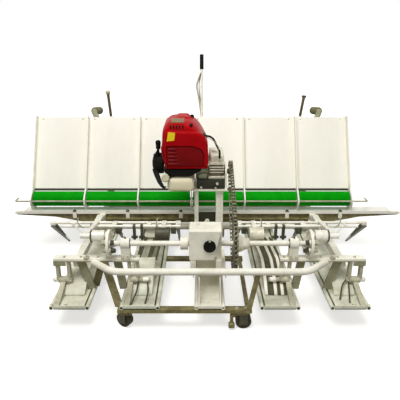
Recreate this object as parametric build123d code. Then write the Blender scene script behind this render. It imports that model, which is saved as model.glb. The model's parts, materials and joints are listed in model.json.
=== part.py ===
"""Walk-behind rice transplanter on a low castor stand.

The machine slides on five flat skids.  A small engine drives a chain, the chain
turns a crankshaft, and the crankshaft carries two planting units, each with
three planting arms.  A six-lane seedling tray shuttles sideways on a guide rail.

Frame: +X to the right seen from the planting side, +Y from the bumper towards the
handles, +Z up.  The model is drawn from the skids' front ends (Y = 0) and the
floor (Z = 0), and save() moves it to the middle of its depth.
"""
from build123d import *
import math
import os

# ---------------------------------------------------------------- driving sizes
ROW_PITCH = 200.0            # distance between two planted rows
ROWS = 6
CONTACT = 0.3                # gap left between soft or sliding neighbours
PIN_CLEARANCE = 0.05         # radial clearance of every running pin or shaft

# stand
FLOOR_TO_BEAM = 58.0
BEAM = 22.0                  # width of the stand's beams
BEAM_HEIGHT = 11.0
LONG_RAIL = 12.0             # width of the rails between the cross beams
STAND_LEFT = -264.0
STAND_RIGHT = 120.0
MID_BEAM_Y = 320.0
REAR_BEAM_Y = 600.0
RAIL_LEFT_X = -226.0
RAIL_RIGHT_X = 109.0
RAIL_REAR_X = 50.0
STRUT_WIDTH = 22.0
STRUT_THICKNESS = 5.0
LEFT_STRUT_HEAD_X = -313.0
LEFT_STRUT_INSET = 9.0       # from the stand's left end to the strut's middle
BRACE_FOOT = (-349.0, 121.0) # X and Y of the left brace's foot on a skid's rim
RIGHT_STRUT_FOOT_X = 108.0
RIGHT_STRUT_HEAD_X = 135.0
RIGHT_STRUT_WIDTH = 14.0
RIGHT_STRUT_FOOT_Y = -4.0
STRUT_RUNNING_GAP = 0.5      # between the left strut and the skid beside it
STRUT_END = 2.5              # a slanted strut's middle stops this far before its seat
CASTOR_WHEEL_R = 23.0
CASTOR_WHEEL_WIDTH = 20.0
CASTOR_TRAIL = 16.0
CASTOR_AXLE_R = 4.0
CASTOR_BOSS_R = 12.0
CASTOR_PLATE = 3.0
CASTOR_CHEEK = 3.5
CASTOR_SIDE_GAP = 2.0

# skids
SKID_LENGTH = 640.0
SKID_WIDTH = 115.0
CENTRE_SKID_WIDTH = 88.0
RIM_R = 6.0
RIM_WALL = 2.0
SKID_SHEET = 2.5
SKID_LIP = 7.0               # height of the turned-up front edge
GUARD_START = 70.0          # where a skid's curved sheet leaves the flat one
GUARD_LENGTH = 130.0
GUARD_HEIGHT = 52.0
GUARD_WIDTH = 62.0
WALL_BACK = 205.0            # back end of the centre skid's side walls
WALL_THICKNESS = 3.0
CENTRE_SHEET_START = 40.0
CENTRE_SHEET_LENGTH = 88.0
REAR_STAY_Y = 550.0
REAR_STAY_LENGTH = 40.0
STRUT_FLAT = 5.0
STRUT_FLAT_WIDTH = 24.0
# distances from the middle of each front strut's head and foot
FRONT_STRUTS = ((386.0, 354.0), (275.0, 258.0))
# distances from the middle of each hinge's outer leg, inner leg, pin's outer end,
# pin's inner end and front link
HINGES = (
    (451.0, 418.0, 466.0, 410.0, 437.0),
    (238.0, 214.0, 246.0, 178.0, 236.0),
)
HINGE_LEG_WIDTH = 9.0
HINGE_LEG_DEPTH = 20.0
HINGE_ROLLER_Z = 113.0
HINGE_ROLLER_R = 6.5
HINGE_LINK_WIDTH = 15.0
HINGE_LINK_FOOT = 14.0        # length of the front link's foot on the sheet
HINGE_LINK_DEPTH = 5.0

# front of the frame
ANGLE_Y = 88.0               # front face of the angle irons
ANGLE_DEPTH = 30.0
ANGLE_HEIGHT = 22.0          # of the plates at the irons' outer ends
ANGLE_LIP = 9.0
ANGLE_END = 36.0             # length of the outer end plates
ANGLE_TOP = 185.0
ANGLE_WALL = 3.0
ANGLE_INNER_X = 208.0
ANGLE_OUTER_X = 460.0
BUMPER_R = 10.0
BUMPER_WALL = 2.0
BUMPER_Y = 12.0
BUMPER_HALF = 273.0
BUMPER_END_X = 338.0
BUMPER_BEND = 60.0

# rails behind the angle irons
RAIL = 22.0                  # square section of the frame's rails
SIDE_RAIL_X = 395.0
RAIL_STEP = 11.0             # the side rails' front stretch stands this much higher
RAIL_STEP_END_Y = 470.0
RAIL_TAIL = 6.0              # the side rails run on behind the posts
CROSS_RAIL_Y = 600.0
CROSS_TUBE_Y = 365.0
CROSS_TUBE_R = 11.0
CROSS_TUBE_WALL = 2.0
SPINE_WIDTH = 96.0
SPINE_WALL = 3.0

# crank drive
CRANK_Y = 98.0
CRANK_Z = 232.0
CRANK_THROW = 24.0
SHAFT_R = 7.5
DISC_R = 41.0
DISC_THICKNESS = 8.0
DISC_X = 289.0               # inner face of each crank disc
CRANK_PIN_R = 8.0
BEARING_X = 246.0
BEARING_WIDTH = 26.0
BEARING_R = 16.0
BEARING_BASE = 7.0
BEARING_WEB = 24.0
DISC_RIM = 7.0
DISC_DISH = 3.0
LUG_R = 7.0
LUG_CIRCLE_R = 24.0
LUG_PROUD = 5.0
LUG_ANGLES = (150.0, 210.0, 270.0, 330.0)
COLLAR_R = 18.5
COLLAR_LENGTH = 22.0

# gearbox
GEARBOX_X = -12.5
GEARBOX_SIZE = 93.0
GEARBOX_DEPTH = 70.0
GEARBOX_Y = 55.0             # front face
GEARBOX_Z = 197.0            # underside
PLUG_R = 17.0
PLUG_X = -0.5
PLUG_PROUD = 5.0
PLUG_SEAT = 5.0
GEARBOX_EDGE = 4.0
GEARBOX_CUT_TOP = 2.0        # the front's right corner is cut back, from this at the top
GEARBOX_CUT_FOOT = 24.0      # to this at the bottom
GEARBOX_CUT_DEPTH = 22.0
GEARBOX_FOOT = 16.0
GEARBOX_FEET_X = (-48.0, 26.0)

# chain drive
CHAIN_PITCH = 12.7
CHAIN_LINKS = 68
BIG_TEETH = 36
SMALL_TEETH = 11
SPROCKET_X = 72.0
SPROCKET_THICKNESS = 6.0
CHAIN_WIDTH = 9.0
CHAIN_RISE = 152.0           # the small sprocket's height over the crankshaft, per CHAIN_REACH
CHAIN_REACH = 237.0
CHAIN_BAND = 6.0
CHAIN_PLATE = 9.0            # height of a link plate
CHAIN_PLATE_OUT = 1.5        # a plate's middle stands this far outside the band's
CHAIN_PLATE_REACH = 0.86     # length of a link plate, in pitches
OUTER_LINK_WIDTH = 13.0
CHAIN_GAP = 0.7
TOOTH_HEIGHT = 3.6

# planting units
BAR_R = 4.5
BAR_FRONT_Y = 222.0
BAR_PITCH = 30.0
BAR_Z = 233.0
BAR_INNER_X = 90.0
BAR_OUTER_X = 508.0
FRONT_BAR_OUTER_X = 471.0
HOUSING_R = 17.0
HOUSING_X = 324.0
HOUSING_LENGTH = 40.0
HOUSING_END_WALL = 4.0
CARRIER_R = 20.0
CARRIER_X = 142.0
CARRIER_Y = 154.0
CARRIER_Z = 237.0
STUB_R = 8.0                 # the crank housing's outer end runs on to the link
STUB_LENGTH = 30.0
LINK_WIDTH = 14.0
LINK_HEIGHT = 14.0
CROSS_LINK_X = (300.0, 190.0)    # short links between the two bars
ARM_LENGTH = 200.0
ARM_SLOPE = 39.9             # degrees below the horizontal, towards the tray
ARM_WIDTH = 13.0
ARM_DEPTH = 18.0
ARM_TIP = 5.0
ARM_CLAMP = 3.0              # a bar clamp is this much wider than its arm
ARM_CLAMP_DEPTH = 14.0
ARM_CLAMP_SINK = 1.5         # the clamp's top is this far under the bar's
WIRE_R = 1.8
# distance from the middle of each wire's head on the front bar and of its foot
WIRES = ((428.0, 366.0), (164.0, 148.0))

# guide rail and tray
GUIDE_HALF = 724.0
GUIDE_Y = 505.0
GUIDE_DEPTH = 15.0
GUIDE_THICKNESS = 8.0
LEDGE_HALF = 690.0
LEDGE_DEPTH = 46.0
LEDGE_THICKNESS = 3.0
GUIDE_BEAM = 4.0             # thickness of the plate under the guide rail
GUIDE_BEAM_SETBACK = 6.0
# distance from the middle and depth under the rail of the plate's lower edge
GUIDE_BEAM_EDGE = ((720.0, 5.0), (575.0, 14.0), (478.0, 33.0), (420.0, 37.0))
GUIDE_FLANGE = 3.0
GUIDE_FLANGE_DEPTH = 15.0
GUIDE_FLANGE_DROP = 17.0
TRAY_X = -60.0
TRAY_WIDTH = 1200.0
TRAY_TRAVEL = 80.0           # half of the shuttle's travel, to each side of the frame's middle
TRAY_Y = 550.0
TRAY_Z = 243.0
TRAY_LENGTH = 286.0
TRAY_TILT = 27.9             # degrees from the vertical
TRAY_SHEET = 3.0
RIB_THICKNESS = 5.0
RIB_HEIGHT = 22.0
ROLLER_R = 28.0
ROLLER_Y = 533.0
ROLLER_Z = 214.0
ROLLER_SHAFT_R = 5.0
ROLLER_SIDE_GAP = 3.0
ROD_R = 3.0
ROD_Y = 500.0
ROD_Z = 215.0
ROD_OVERHANG = 56.0
ROD_HOOK = 34.0
GATE_WIDTH = 14.0

# tray support and handles
SUPPORT_R = 8.0
SUPPORT_UP = 240.0           # along the tray's slope
POST_DEPTH = 16.0
POST_TOP = 470.0
HANDLE_R = 11.0
HANDLE_WALL = 2.0
HANDLE_KNEE_Z = 400.0
GRIP_X = 470.0
HANDLE_REACH = 123.0         # from the side rail's end to the handle's turn
HANDLE_TURN_Z = 494.0
GRIP_REACH = 120.0           # from the turn to the grip's end
GRIP_END_Z = 478.0
HANDLE_KNEE_BEND = 60.0
HANDLE_TURN_BEND = 40.0
GRIP_R = 15.0
GRIP_LENGTH = 100.0
HANDLE_BAR_SETBACK = 35.0
HANDLE_BAR_R = 10.0
LEVER_R = 5.0
LEVER_COLLAR_WIDTH = 18.0
LEVER_COLLAR_WALL = 5.0
# foot X, head X, height of the head and how far the head stands behind the bar
LEVERS = (
    (-392.0, -404.0, 567.0, 24.0),
    (380.0, 398.0, 558.0, 24.0),
    (-21.0, -21.0, 661.0, 80.0),
)
CENTRE_LEVER_GRIP = 60.0
LEVER_GRIP_WALL = 3.0

# engine
UPRIGHT_Y = 292.0
UPRIGHT_DEPTH = 26.0
UPRIGHT_LEFT = (-46.0, -33.0)
UPRIGHT_RIGHT = (24.0, 47.0)
ENGINE_PLATE_TOP = 335.0
ENGINE_PLATE = 5.0
ENGINE_PLATE_LEFT = -48.0
ENGINE_PLATE_RIGHT = 60.0
ENGINE_PLATE_FRONT = 282.0
ENGINE_PLATE_BACK = 410.0
REDUCER_LEFT = 0.0
REDUCER_WIDTH = 50.0
BOX_LEFT = -37.0             # the reducer's lower box reaches under the engine's right end
BRACKET_X = (52.0, 58.0)     # the white plate between the reducer and the small wheel
BRACKET_REACH = 24.0         # its edges from the output shaft's middle
REDUCER_FRONT = 290.0
REDUCER_DEPTH = 110.0
REDUCER_BOX_HEIGHT = 36.0
REDUCER_CASE_HEIGHT = 99.0
REDUCER_CORNER = 20.0
REDUCER_FINS = 5
REDUCER_FIN = 3.0
REDUCER_FIN_PROUD = 5.0
COVER_WIDTH = 155.0
COVER_FRONT = 250.0
COVER_DEPTH = 190.0
COVER_HEIGHT = 148.0
COVER_CORNER = 22.0
COVER_EDGE = 9.0
CRANKCASE_RISE = 50.0        # from the engine plate up to the crankcase
CRANKCASE_HEIGHT = 25.0
CRANKCASE_SETBACK = 8.0
TANK_WIDTH = 82.0
TANK_SIDE_GAP = 1.0
TANK_HEIGHT = 48.0
TANK_FRONT = 255.0
TANK_DEPTH = 120.0
TANK_CORNER = 10.0
CAP_R = 11.0
CAP_LENGTH = 10.0
CAP_SEAT = 3.0
CAP_INSET = 3.0
CAP_DROP = 2.0
STARTER_R = 34.0
STARTER_WIDTH = 28.0
STARTER_BACK = 80.0          # from the cover's front to the starter's middle
STARTER_LEG = (8.0, 10.0)    # width and depth of the guard leg under the starter
STARTER_LEG_DROP = 66.0
CABLE_R = 3.0
CABLE_Y = 276.0
CABLE_START_X = -12.0        # inside the cover, which cuts it off
CABLE_START_RISE = 102.0     # above the cover's bottom
CABLE_KNEE_X = 10.0
CABLE_KNEE_DROP = 4.0
CABLE_END_DROP = 30.0        # below the reducer's top
CABLE_LAST_RUN = 22.0
CABLE_BENDS = (24.0, 20.0, 7.0)

# ---------------------------------------------------------------- worked out
BEAM_TOP = FLOOR_TO_BEAM + BEAM_HEIGHT
RIM_Z = BEAM_TOP + RIM_R
SKID_TOP = BEAM_TOP + 2 * RIM_R
RAIL_TOP = ANGLE_TOP - ANGLE_HEIGHT
RAIL_BOTTOM = RAIL_TOP - RAIL
PIN_Z = CRANK_Z + CRANK_THROW
HALF_BEAM = BEAM / 2
TILT = math.radians(TRAY_TILT)
LANE = (TRAY_WIDTH - RIB_THICKNESS) / ROWS
BIG_R = CHAIN_PITCH / (2 * math.sin(math.pi / BIG_TEETH))
SMALL_R = CHAIN_PITCH / (2 * math.sin(math.pi / SMALL_TEETH))
SPARE_PITCHES = 2 * CHAIN_LINKS - BIG_TEETH - SMALL_TEETH
CHAIN_CENTRES = CHAIN_PITCH / 8 * (
    SPARE_PITCHES
    + math.sqrt(SPARE_PITCHES ** 2 - 8 / math.pi ** 2 * (BIG_TEETH - SMALL_TEETH) ** 2)
)
CHAIN_ANGLE = math.atan2(CHAIN_RISE, CHAIN_REACH)
CRANKCASE_BOTTOM = ENGINE_PLATE_TOP + CRANKCASE_RISE
COVER_BOTTOM = CRANKCASE_BOTTOM + CRANKCASE_HEIGHT
COVER_LEFT = REDUCER_LEFT - COVER_WIDTH
REDUCER_SPLIT = ENGINE_PLATE_TOP + REDUCER_BOX_HEIGHT
TANK_RIGHT = ENGINE_PLATE_LEFT - TANK_SIDE_GAP
TANK_LEFT = TANK_RIGHT - TANK_WIDTH
FRONT_RAIL_TOP = ANGLE_TOP - ANGLE_HEIGHT + RAIL_STEP
OUTPUT_Y = CRANK_Y + CHAIN_CENTRES * math.cos(CHAIN_ANGLE)
OUTPUT_Z = CRANK_Z + CHAIN_CENTRES * math.sin(CHAIN_ANGLE)
CASTOR_AXLE_Z = CASTOR_WHEEL_R
CASTOR_Y = CASTOR_WHEEL_R - 2.0
# name, x, y, yaw in degrees of each castor's trail about the swivel axis
CASTORS = (
    ("front_left", -234.0, CASTOR_Y, 150.0),
    ("front_right", 82.0, CASTOR_Y, 0.0),
    ("rear_left", RAIL_LEFT_X, REAR_BEAM_Y + HALF_BEAM, 60.0),
    ("rear_right", RAIL_REAR_X, REAR_BEAM_Y + HALF_BEAM, 75.0),
)
SIDES = (("left", -1), ("right", 1))


SUPPORT_OUT = -TRAY_SHEET - CONTACT - SUPPORT_R
SUPPORT_Y = TRAY_Y + SUPPORT_UP * math.sin(TILT) - SUPPORT_OUT * math.cos(TILT)
RAIL_END_Y = SUPPORT_Y + SUPPORT_R + POST_DEPTH + RAIL_TAIL
HANDLE_TURN_Y = RAIL_END_Y + HANDLE_REACH
GRIP_END_Y = HANDLE_TURN_Y + GRIP_REACH
HANDLE_BAR_Y = HANDLE_TURN_Y - HANDLE_BAR_SETBACK
GRIP_SLOPE = math.atan2(HANDLE_TURN_Z - GRIP_END_Z, GRIP_REACH)
DEPTH_MIDDLE = (GRIP_END_Y + GRIP_R * math.sin(GRIP_SLOPE)) / 2


# ---------------------------------------------------------------- helpers
def block(x_range, y_range, z_range):
    """A box between two X, two Y and two Z values."""
    spans = [high - low for low, high in (x_range, y_range, z_range)]
    middles = [(high + low) / 2 for low, high in (x_range, y_range, z_range)]
    return Pos(*middles) * Box(*spans)


def span(centre, width):
    """The two ends of a width about a centre."""
    return centre - width / 2, centre + width / 2


def mirrored_span(side, inner, outer):
    """The X range between two distances from the middle, on one side."""
    return tuple(sorted((side * inner, side * outer)))


def rod(start, end, radius, bore=0.0):
    """A round bar, or a tube when it has a bore, between two points."""
    start, end = Vector(*start), Vector(*end)
    place = Plane(origin=start, z_dir=end - start)
    seat = (Align.CENTER, Align.CENTER, Align.MIN)
    length = (end - start).length
    solid = Cylinder(radius, length, align=seat)
    if bore:
        solid -= Cylinder(bore, length, align=seat)
    return place * solid


def shaft(x_range, y, z, radius, bore=0.0):
    """A round bar or tube along X."""
    return rod((x_range[0], y, z), (x_range[1], y, z), radius, bore)


def flat_bar(start, end, width, thickness):
    """A flat bar between two points, with its width across, as near to X as it can be."""
    start, end = Vector(*start), Vector(*end)
    along = (end - start).normalized()
    across = (Vector(1, 0, 0) - along * along.X).normalized()
    seat = (Align.CENTER, Align.CENTER, Align.MIN)
    return Plane(origin=start, x_dir=across, z_dir=along) * Box(
        width, thickness, (end - start).length, align=seat
    )


def profile(points, x, thickness):
    """A plate of one thickness in X, from its outline in Y and Z."""
    face = make_face(Polyline(*points, close=True))
    return Pos(x - thickness / 2, 0, 0) * extrude(Plane.YZ * face, amount=thickness)


def bent_tube(points, bends, radius, bore):
    """A tube along straight runs joined by arcs."""
    path = FilletPolyline(*points, radius=bends)
    section = Circle(radius) - Circle(bore)
    return sweep(Plane(origin=path @ 0, z_dir=path % 0) * section, path=path)


def on_tray(up, out):
    """Y and Z of a point, up the tray's slope and out from its face."""
    y = TRAY_Y + up * math.sin(TILT) - out * math.cos(TILT)
    z = TRAY_Z + up * math.cos(TILT) + out * math.sin(TILT)
    return y, z


def row_x(index):
    """The X of a planted row, from the left."""
    return (index - (ROWS - 1) / 2) * ROW_PITCH


# ---------------------------------------------------------------- stand
def stand_beams():
    """The stand's square beams, each one a solid."""
    height = (FLOOR_TO_BEAM, BEAM_TOP)
    cross_width = (STAND_LEFT, STAND_RIGHT)
    beams = [
        block(cross_width, (0, BEAM), height),
        block(cross_width, (MID_BEAM_Y, MID_BEAM_Y + BEAM), height),
        block(cross_width, (REAR_BEAM_Y, REAR_BEAM_Y + BEAM), height),
    ]
    for x in (RAIL_LEFT_X, RAIL_RIGHT_X):
        beams.append(block(span(x, LONG_RAIL), (BEAM, MID_BEAM_Y), height))
    for x in (RAIL_LEFT_X, RAIL_REAR_X):
        beams.append(block(span(x, LONG_RAIL), (MID_BEAM_Y + BEAM, REAR_BEAM_Y), height))
    return beams


def stand_struts():
    """The flat bars that tie the stand's front beam to the frame and to the left skid."""
    left = flat_bar(
        (STAND_LEFT + LEFT_STRUT_INSET, HALF_BEAM, FLOOR_TO_BEAM),
        (LEFT_STRUT_HEAD_X, ANGLE_Y + STRUT_THICKNESS, ANGLE_TOP),
        STRUT_WIDTH,
        STRUT_THICKNESS,
    )
    wide = span(STAND_LEFT, 2 * ROW_PITCH)
    left &= block(wide, (0, ANGLE_Y), (BEAM_TOP, ANGLE_TOP - STRUT_THICKNESS))
    rim_left = -ROW_PITCH - SKID_WIDTH / 2 - STRUT_RUNNING_GAP
    left -= block((rim_left, 0), (0, ANGLE_Y), (BEAM_TOP, SKID_TOP + STRUT_RUNNING_GAP))
    head_y = ANGLE_Y + ANGLE_WALL + STRUT_THICKNESS
    brace = flat_bar(
        (*BRACE_FOOT, RIM_Z), (LEFT_STRUT_HEAD_X, head_y, ANGLE_TOP), STRUT_WIDTH, STRUT_THICKNESS
    )
    brace &= block(wide, (ANGLE_Y + ANGLE_WALL, SKID_LENGTH), (RIM_Z, ANGLE_TOP - ANGLE_WALL))
    rim_x = -2 * ROW_PITCH + SKID_WIDTH / 2 - RIM_R
    brace -= rod((rim_x, 0, RIM_Z), (rim_x, SKID_LENGTH, RIM_Z), RIM_R)
    brace -= block((-3 * ROW_PITCH, rim_x), (0, SKID_LENGTH), (0, RIM_Z + RIM_R - STRUT_END))
    brace -= block((rim_x, 0), (0, SKID_LENGTH), (0, RIM_Z + RIM_R - STRUT_END))
    right = flat_bar(
        (RIGHT_STRUT_FOOT_X, RIGHT_STRUT_FOOT_Y, FLOOR_TO_BEAM + STRUT_END),
        (RIGHT_STRUT_HEAD_X, BUMPER_Y, ANGLE_TOP - BUMPER_R / 2),
        RIGHT_STRUT_WIDTH,
        STRUT_THICKNESS,
    )
    right -= shaft((0, BUMPER_HALF), BUMPER_Y, ANGLE_TOP, BUMPER_R)
    right -= block((STAND_LEFT, STAND_RIGHT), (0, BEAM), (FLOOR_TO_BEAM, BEAM_TOP))
    return [left, brace, right]


def castor_fork(x, y, yaw):
    """A castor's swivelling fork, drawn trailing along +X and then turned."""
    inner = CASTOR_WHEEL_WIDTH / 2 + CASTOR_SIDE_GAP
    outer = inner + CASTOR_CHEEK
    plate_top = FLOOR_TO_BEAM - CASTOR_PLATE
    plate_bottom = plate_top - CASTOR_PLATE
    fork = Pos(0, 0, plate_top) * Cylinder(
        CASTOR_BOSS_R, CASTOR_PLATE, align=(Align.CENTER, Align.CENTER, Align.MIN)
    )
    reach = (-CASTOR_BOSS_R, CASTOR_TRAIL + CASTOR_BOSS_R)
    fork += block(reach, (-outer, outer), (plate_bottom, plate_top))
    for side in (-1, 1):
        cheek_y = mirrored_span(side, inner, outer)
        cheek_x = span(CASTOR_TRAIL, 2 * CASTOR_BOSS_R)
        fork += block(cheek_x, cheek_y, (CASTOR_AXLE_Z - CASTOR_AXLE_R * 2, plate_bottom))
    axle = Pos(CASTOR_TRAIL, 0, CASTOR_AXLE_Z) * Rot(90, 0, 0) * Cylinder(
        CASTOR_AXLE_R, 2 * outer
    )
    return Pos(x, y, 0) * Rot(0, 0, yaw) * (fork + axle)


def castor_wheel(x, y, yaw):
    """A castor's wheel, with its bore running on the fork's axle."""
    wheel = Cylinder(CASTOR_WHEEL_R, CASTOR_WHEEL_WIDTH)
    wheel -= Cylinder(CASTOR_AXLE_R + PIN_CLEARANCE, CASTOR_WHEEL_WIDTH)
    placed = Pos(CASTOR_TRAIL, 0, CASTOR_AXLE_Z) * Rot(90, 0, 0) * wheel
    return Pos(x, y, 0) * Rot(0, 0, yaw) * placed


# ---------------------------------------------------------------- skids and frame
def skid(x, width):
    """A flat sheet skid with a rolled tube along each edge and a turned-up front lip."""
    length = (0, SKID_LENGTH)
    bore = RIM_R - RIM_WALL
    half_sheet = width / 2 - 2 * RIM_R + RIM_WALL * 0.75
    sheet_x = span(x, 2 * half_sheet)
    shape = block(sheet_x, length, span(RIM_Z, SKID_SHEET))
    shape += block(sheet_x, (0, SKID_SHEET), (RIM_Z, RIM_Z + SKID_LIP))
    for side in (-1, 1):
        rim_x = x + side * (width / 2 - RIM_R)
        shape += rod((rim_x, 0, RIM_Z), (rim_x, SKID_LENGTH, RIM_Z), RIM_R, bore)
    return shape


def curved_sheet(x, width, start, length, height):
    """A sheet that leaves the level at start (y, z) and curves up to a length and height."""
    radius = (length ** 2 + height ** 2) / (2 * height)
    sweep = math.asin(length / radius)
    centre_y, centre_z = start[0], start[1] + radius
    rings = []
    for reach in (radius, radius - SKID_SHEET):
        places = []
        for share in (0, 0.5, 1):
            angle = sweep * share
            places.append((centre_y + reach * math.sin(angle), centre_z - reach * math.cos(angle)))
        rings.append(places)
    low, high = rings
    outline = [
        ThreePointArc(*low),
        Line(low[2], high[2]),
        ThreePointArc(*reversed(high)),
        Line(high[0], low[0]),
    ]
    return Pos(x - width / 2, 0, 0) * extrude(Plane.YZ * make_face(outline), amount=width)


def skid_guards():
    """The curved sheet on each outer skid, rising away from the flat one."""
    start = (GUARD_START, RIM_Z + SKID_SHEET / 2)
    places = [index * ROW_PITCH for index in (-2, -1, 1, 2)]
    return [curved_sheet(x, GUARD_WIDTH, start, GUARD_LENGTH, GUARD_HEIGHT) for x in places]


def skid_struts():
    """Flat posts from the frame down to the skids."""
    posts = []
    post_y = ANGLE_Y + ANGLE_DEPTH / 2
    rear_y = (CROSS_RAIL_Y, CROSS_RAIL_Y + RAIL)
    rear_z = (RIM_Z + SKID_SHEET / 2, RAIL_BOTTOM)
    for side in (-1, 1):
        for top_x, foot_x in FRONT_STRUTS:
            foot = (side * foot_x, post_y, RIM_Z)
            head = (side * top_x, post_y, ANGLE_TOP)
            post = flat_bar(foot, head, STRUT_FLAT_WIDTH, STRUT_FLAT)
            reach = span(side * (top_x + foot_x) / 2, ROW_PITCH)
            post &= block(reach, span(post_y, ROW_PITCH), (SKID_TOP - STRUT_END, ANGLE_TOP - ANGLE_WALL))
            for row in (1, 2):
                for edge in (-1, 1):
                    rim_x = side * (row * ROW_PITCH + edge * (SKID_WIDTH / 2 - RIM_R))
                    post -= rod((rim_x, 0, RIM_Z), (rim_x, SKID_LENGTH, RIM_Z), RIM_R)
            posts.append(post)
        posts.append(block(span(side * SIDE_RAIL_X, RAIL), rear_y, rear_z))
        posts.append(block(span(side * ROW_PITCH, RAIL), rear_y, rear_z))
    return posts


def skid_hinges():
    """The forked hangers over the outer skids, with their pins and their front links."""
    hinges = []
    leg_y = (ANGLE_Y + ANGLE_WALL, ANGLE_Y + HINGE_LEG_DEPTH)
    pin_y = ANGLE_Y + HINGE_LEG_DEPTH / 2
    sheet_top = RIM_Z + SKID_SHEET / 2
    link_outline = [
        (SKID_SHEET, sheet_top),
        (SKID_SHEET + HINGE_LINK_FOOT, sheet_top),
        (pin_y, HINGE_ROLLER_Z - HINGE_LINK_DEPTH),
        (pin_y, HINGE_ROLLER_Z),
        (SKID_SHEET, sheet_top + HINGE_LINK_DEPTH),
    ]
    for _, side in SIDES:
        for outer, inner, pin_outer, pin_inner, link_x in HINGES:
            hinge = profile(link_outline, side * link_x, HINGE_LINK_WIDTH)
            for x in (outer, inner):
                leg_x = span(side * x, HINGE_LEG_WIDTH)
                hinge += block(leg_x, leg_y, (HINGE_ROLLER_Z, ANGLE_TOP - ANGLE_WALL))
            pin = mirrored_span(side, pin_inner, pin_outer)
            hinge += shaft(pin, pin_y, HINGE_ROLLER_Z, HINGE_ROLLER_R)
            roller = mirrored_span(side, inner, outer)
            hinge += shaft(roller, pin_y, HINGE_ROLLER_Z, HINGE_LEG_DEPTH / 2)
            hinges.append(hinge)
    return hinges


def front_angles():
    """The two angle irons that carry the crankshaft's bearings."""
    irons = []
    for _, side in SIDES:
        width = mirrored_span(side, ANGLE_INNER_X, ANGLE_OUTER_X)
        top = block(width, (ANGLE_Y, ANGLE_Y + ANGLE_DEPTH), (ANGLE_TOP - ANGLE_WALL, ANGLE_TOP))
        front_y = (ANGLE_Y, ANGLE_Y + ANGLE_WALL)
        front = block(width, front_y, (ANGLE_TOP - ANGLE_LIP, ANGLE_TOP))
        end_x = mirrored_span(side, ANGLE_OUTER_X - ANGLE_END, ANGLE_OUTER_X)
        irons.append(top + front + block(end_x, front_y, (ANGLE_TOP - ANGLE_HEIGHT, ANGLE_TOP)))
    return irons


def bumper():
    """The bent tube in front, cut flush with the angle irons' front faces."""
    end_z = ANGLE_TOP - ANGLE_HEIGHT / 2
    reach = ANGLE_Y - BUMPER_Y
    over = 1.3
    out_x = BUMPER_HALF + (BUMPER_END_X - BUMPER_HALF) * over
    out_y = BUMPER_Y + reach * over
    out_z = ANGLE_TOP + (end_z - ANGLE_TOP) * over
    points = [
        (-out_x, out_y, out_z),
        (-BUMPER_HALF, BUMPER_Y, ANGLE_TOP),
        (BUMPER_HALF, BUMPER_Y, ANGLE_TOP),
        (out_x, out_y, out_z),
    ]
    tube = bent_tube(points, BUMPER_BEND, BUMPER_R, BUMPER_R - BUMPER_WALL)
    behind = block(
        (-2 * out_x, 2 * out_x), (ANGLE_Y, ANGLE_Y + 2 * reach), (0, 2 * ANGLE_TOP)
    )
    return tube - behind


def side_rails():
    """The two rails from the angle irons back past the posts, higher at the front."""
    rails = []
    for _, side in SIDES:
        width = span(side * SIDE_RAIL_X, RAIL)
        start_y = ANGLE_Y + ANGLE_DEPTH / 2 + STRUT_FLAT / 2
        front_z = (FRONT_RAIL_TOP - RAIL, FRONT_RAIL_TOP)
        front = block(width, (start_y, RAIL_STEP_END_Y), front_z)
        rear = block(width, (RAIL_STEP_END_Y, RAIL_END_Y), (RAIL_BOTTOM, RAIL_TOP))
        rails.append(front + rear)
    return rails


def cross_rails():
    """The rear cross rail and the middle cross tube, both between the side rails."""
    inner = SIDE_RAIL_X - RAIL / 2
    rear = block((-inner, inner), (CROSS_RAIL_Y, CROSS_RAIL_Y + RAIL), (RAIL_BOTTOM, RAIL_TOP))
    tube_z = RAIL_TOP + CROSS_TUBE_R
    bore = CROSS_TUBE_R - CROSS_TUBE_WALL
    tube = shaft((-inner, inner), CROSS_TUBE_Y, tube_z, CROSS_TUBE_R, bore)
    return [rear, tube]


def spine():
    """The channel down the middle that carries the gearbox and the engine."""
    length = (GEARBOX_Y, CROSS_RAIL_Y)
    outer = block(span(0, SPINE_WIDTH), length, (RAIL_BOTTOM, RAIL_TOP))
    inner = span(0, SPINE_WIDTH - 2 * SPINE_WALL)
    return outer - block(inner, length, (RAIL_BOTTOM, RAIL_TOP - SPINE_WALL))


def centre_walls():
    """The centre skid's side walls, the curved sheet between them and the rear stays."""
    outer = CENTRE_SKID_WIDTH / 2 - 2 * RIM_R
    sheet_top = RIM_Z + SKID_SHEET / 2
    outline = [
        (SKID_SHEET, sheet_top),
        (GEARBOX_Y, RAIL_BOTTOM),
        (WALL_BACK, RAIL_BOTTOM),
        (WALL_BACK, sheet_top),
    ]
    pieces = []
    for side in (-1, 1):
        wall_x = mirrored_span(side, outer - WALL_THICKNESS, outer)
        pieces.append(profile(outline, sum(wall_x) / 2, WALL_THICKNESS))
        rear = (REAR_STAY_Y, REAR_STAY_Y + REAR_STAY_LENGTH)
        pieces.append(block(wall_x, rear, (sheet_top, RAIL_TOP - SPINE_WALL)))
    start = (CENTRE_SHEET_START, sheet_top)
    width = 2 * (outer - WALL_THICKNESS)
    height = RAIL_BOTTOM - sheet_top
    pieces.append(curved_sheet(0, width, start, CENTRE_SHEET_LENGTH, height))
    return pieces


# ---------------------------------------------------------------- crank drive
def bearings():
    """The two pillow blocks on the angle irons."""
    blocks = []
    for _, side in SIDES:
        width = span(side * BEARING_X, BEARING_WIDTH)
        foot = block(width, (ANGLE_Y - 2, ANGLE_Y + ANGLE_DEPTH), (ANGLE_TOP, ANGLE_TOP + BEARING_BASE))
        web = block(width, span(CRANK_Y, BEARING_WEB), (ANGLE_TOP, CRANK_Z))
        boss = shaft(width, CRANK_Y, CRANK_Z, BEARING_R)
        blocks.append(foot + web + boss - shaft(width, CRANK_Y, CRANK_Z, SHAFT_R + PIN_CLEARANCE))
    return blocks


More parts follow.
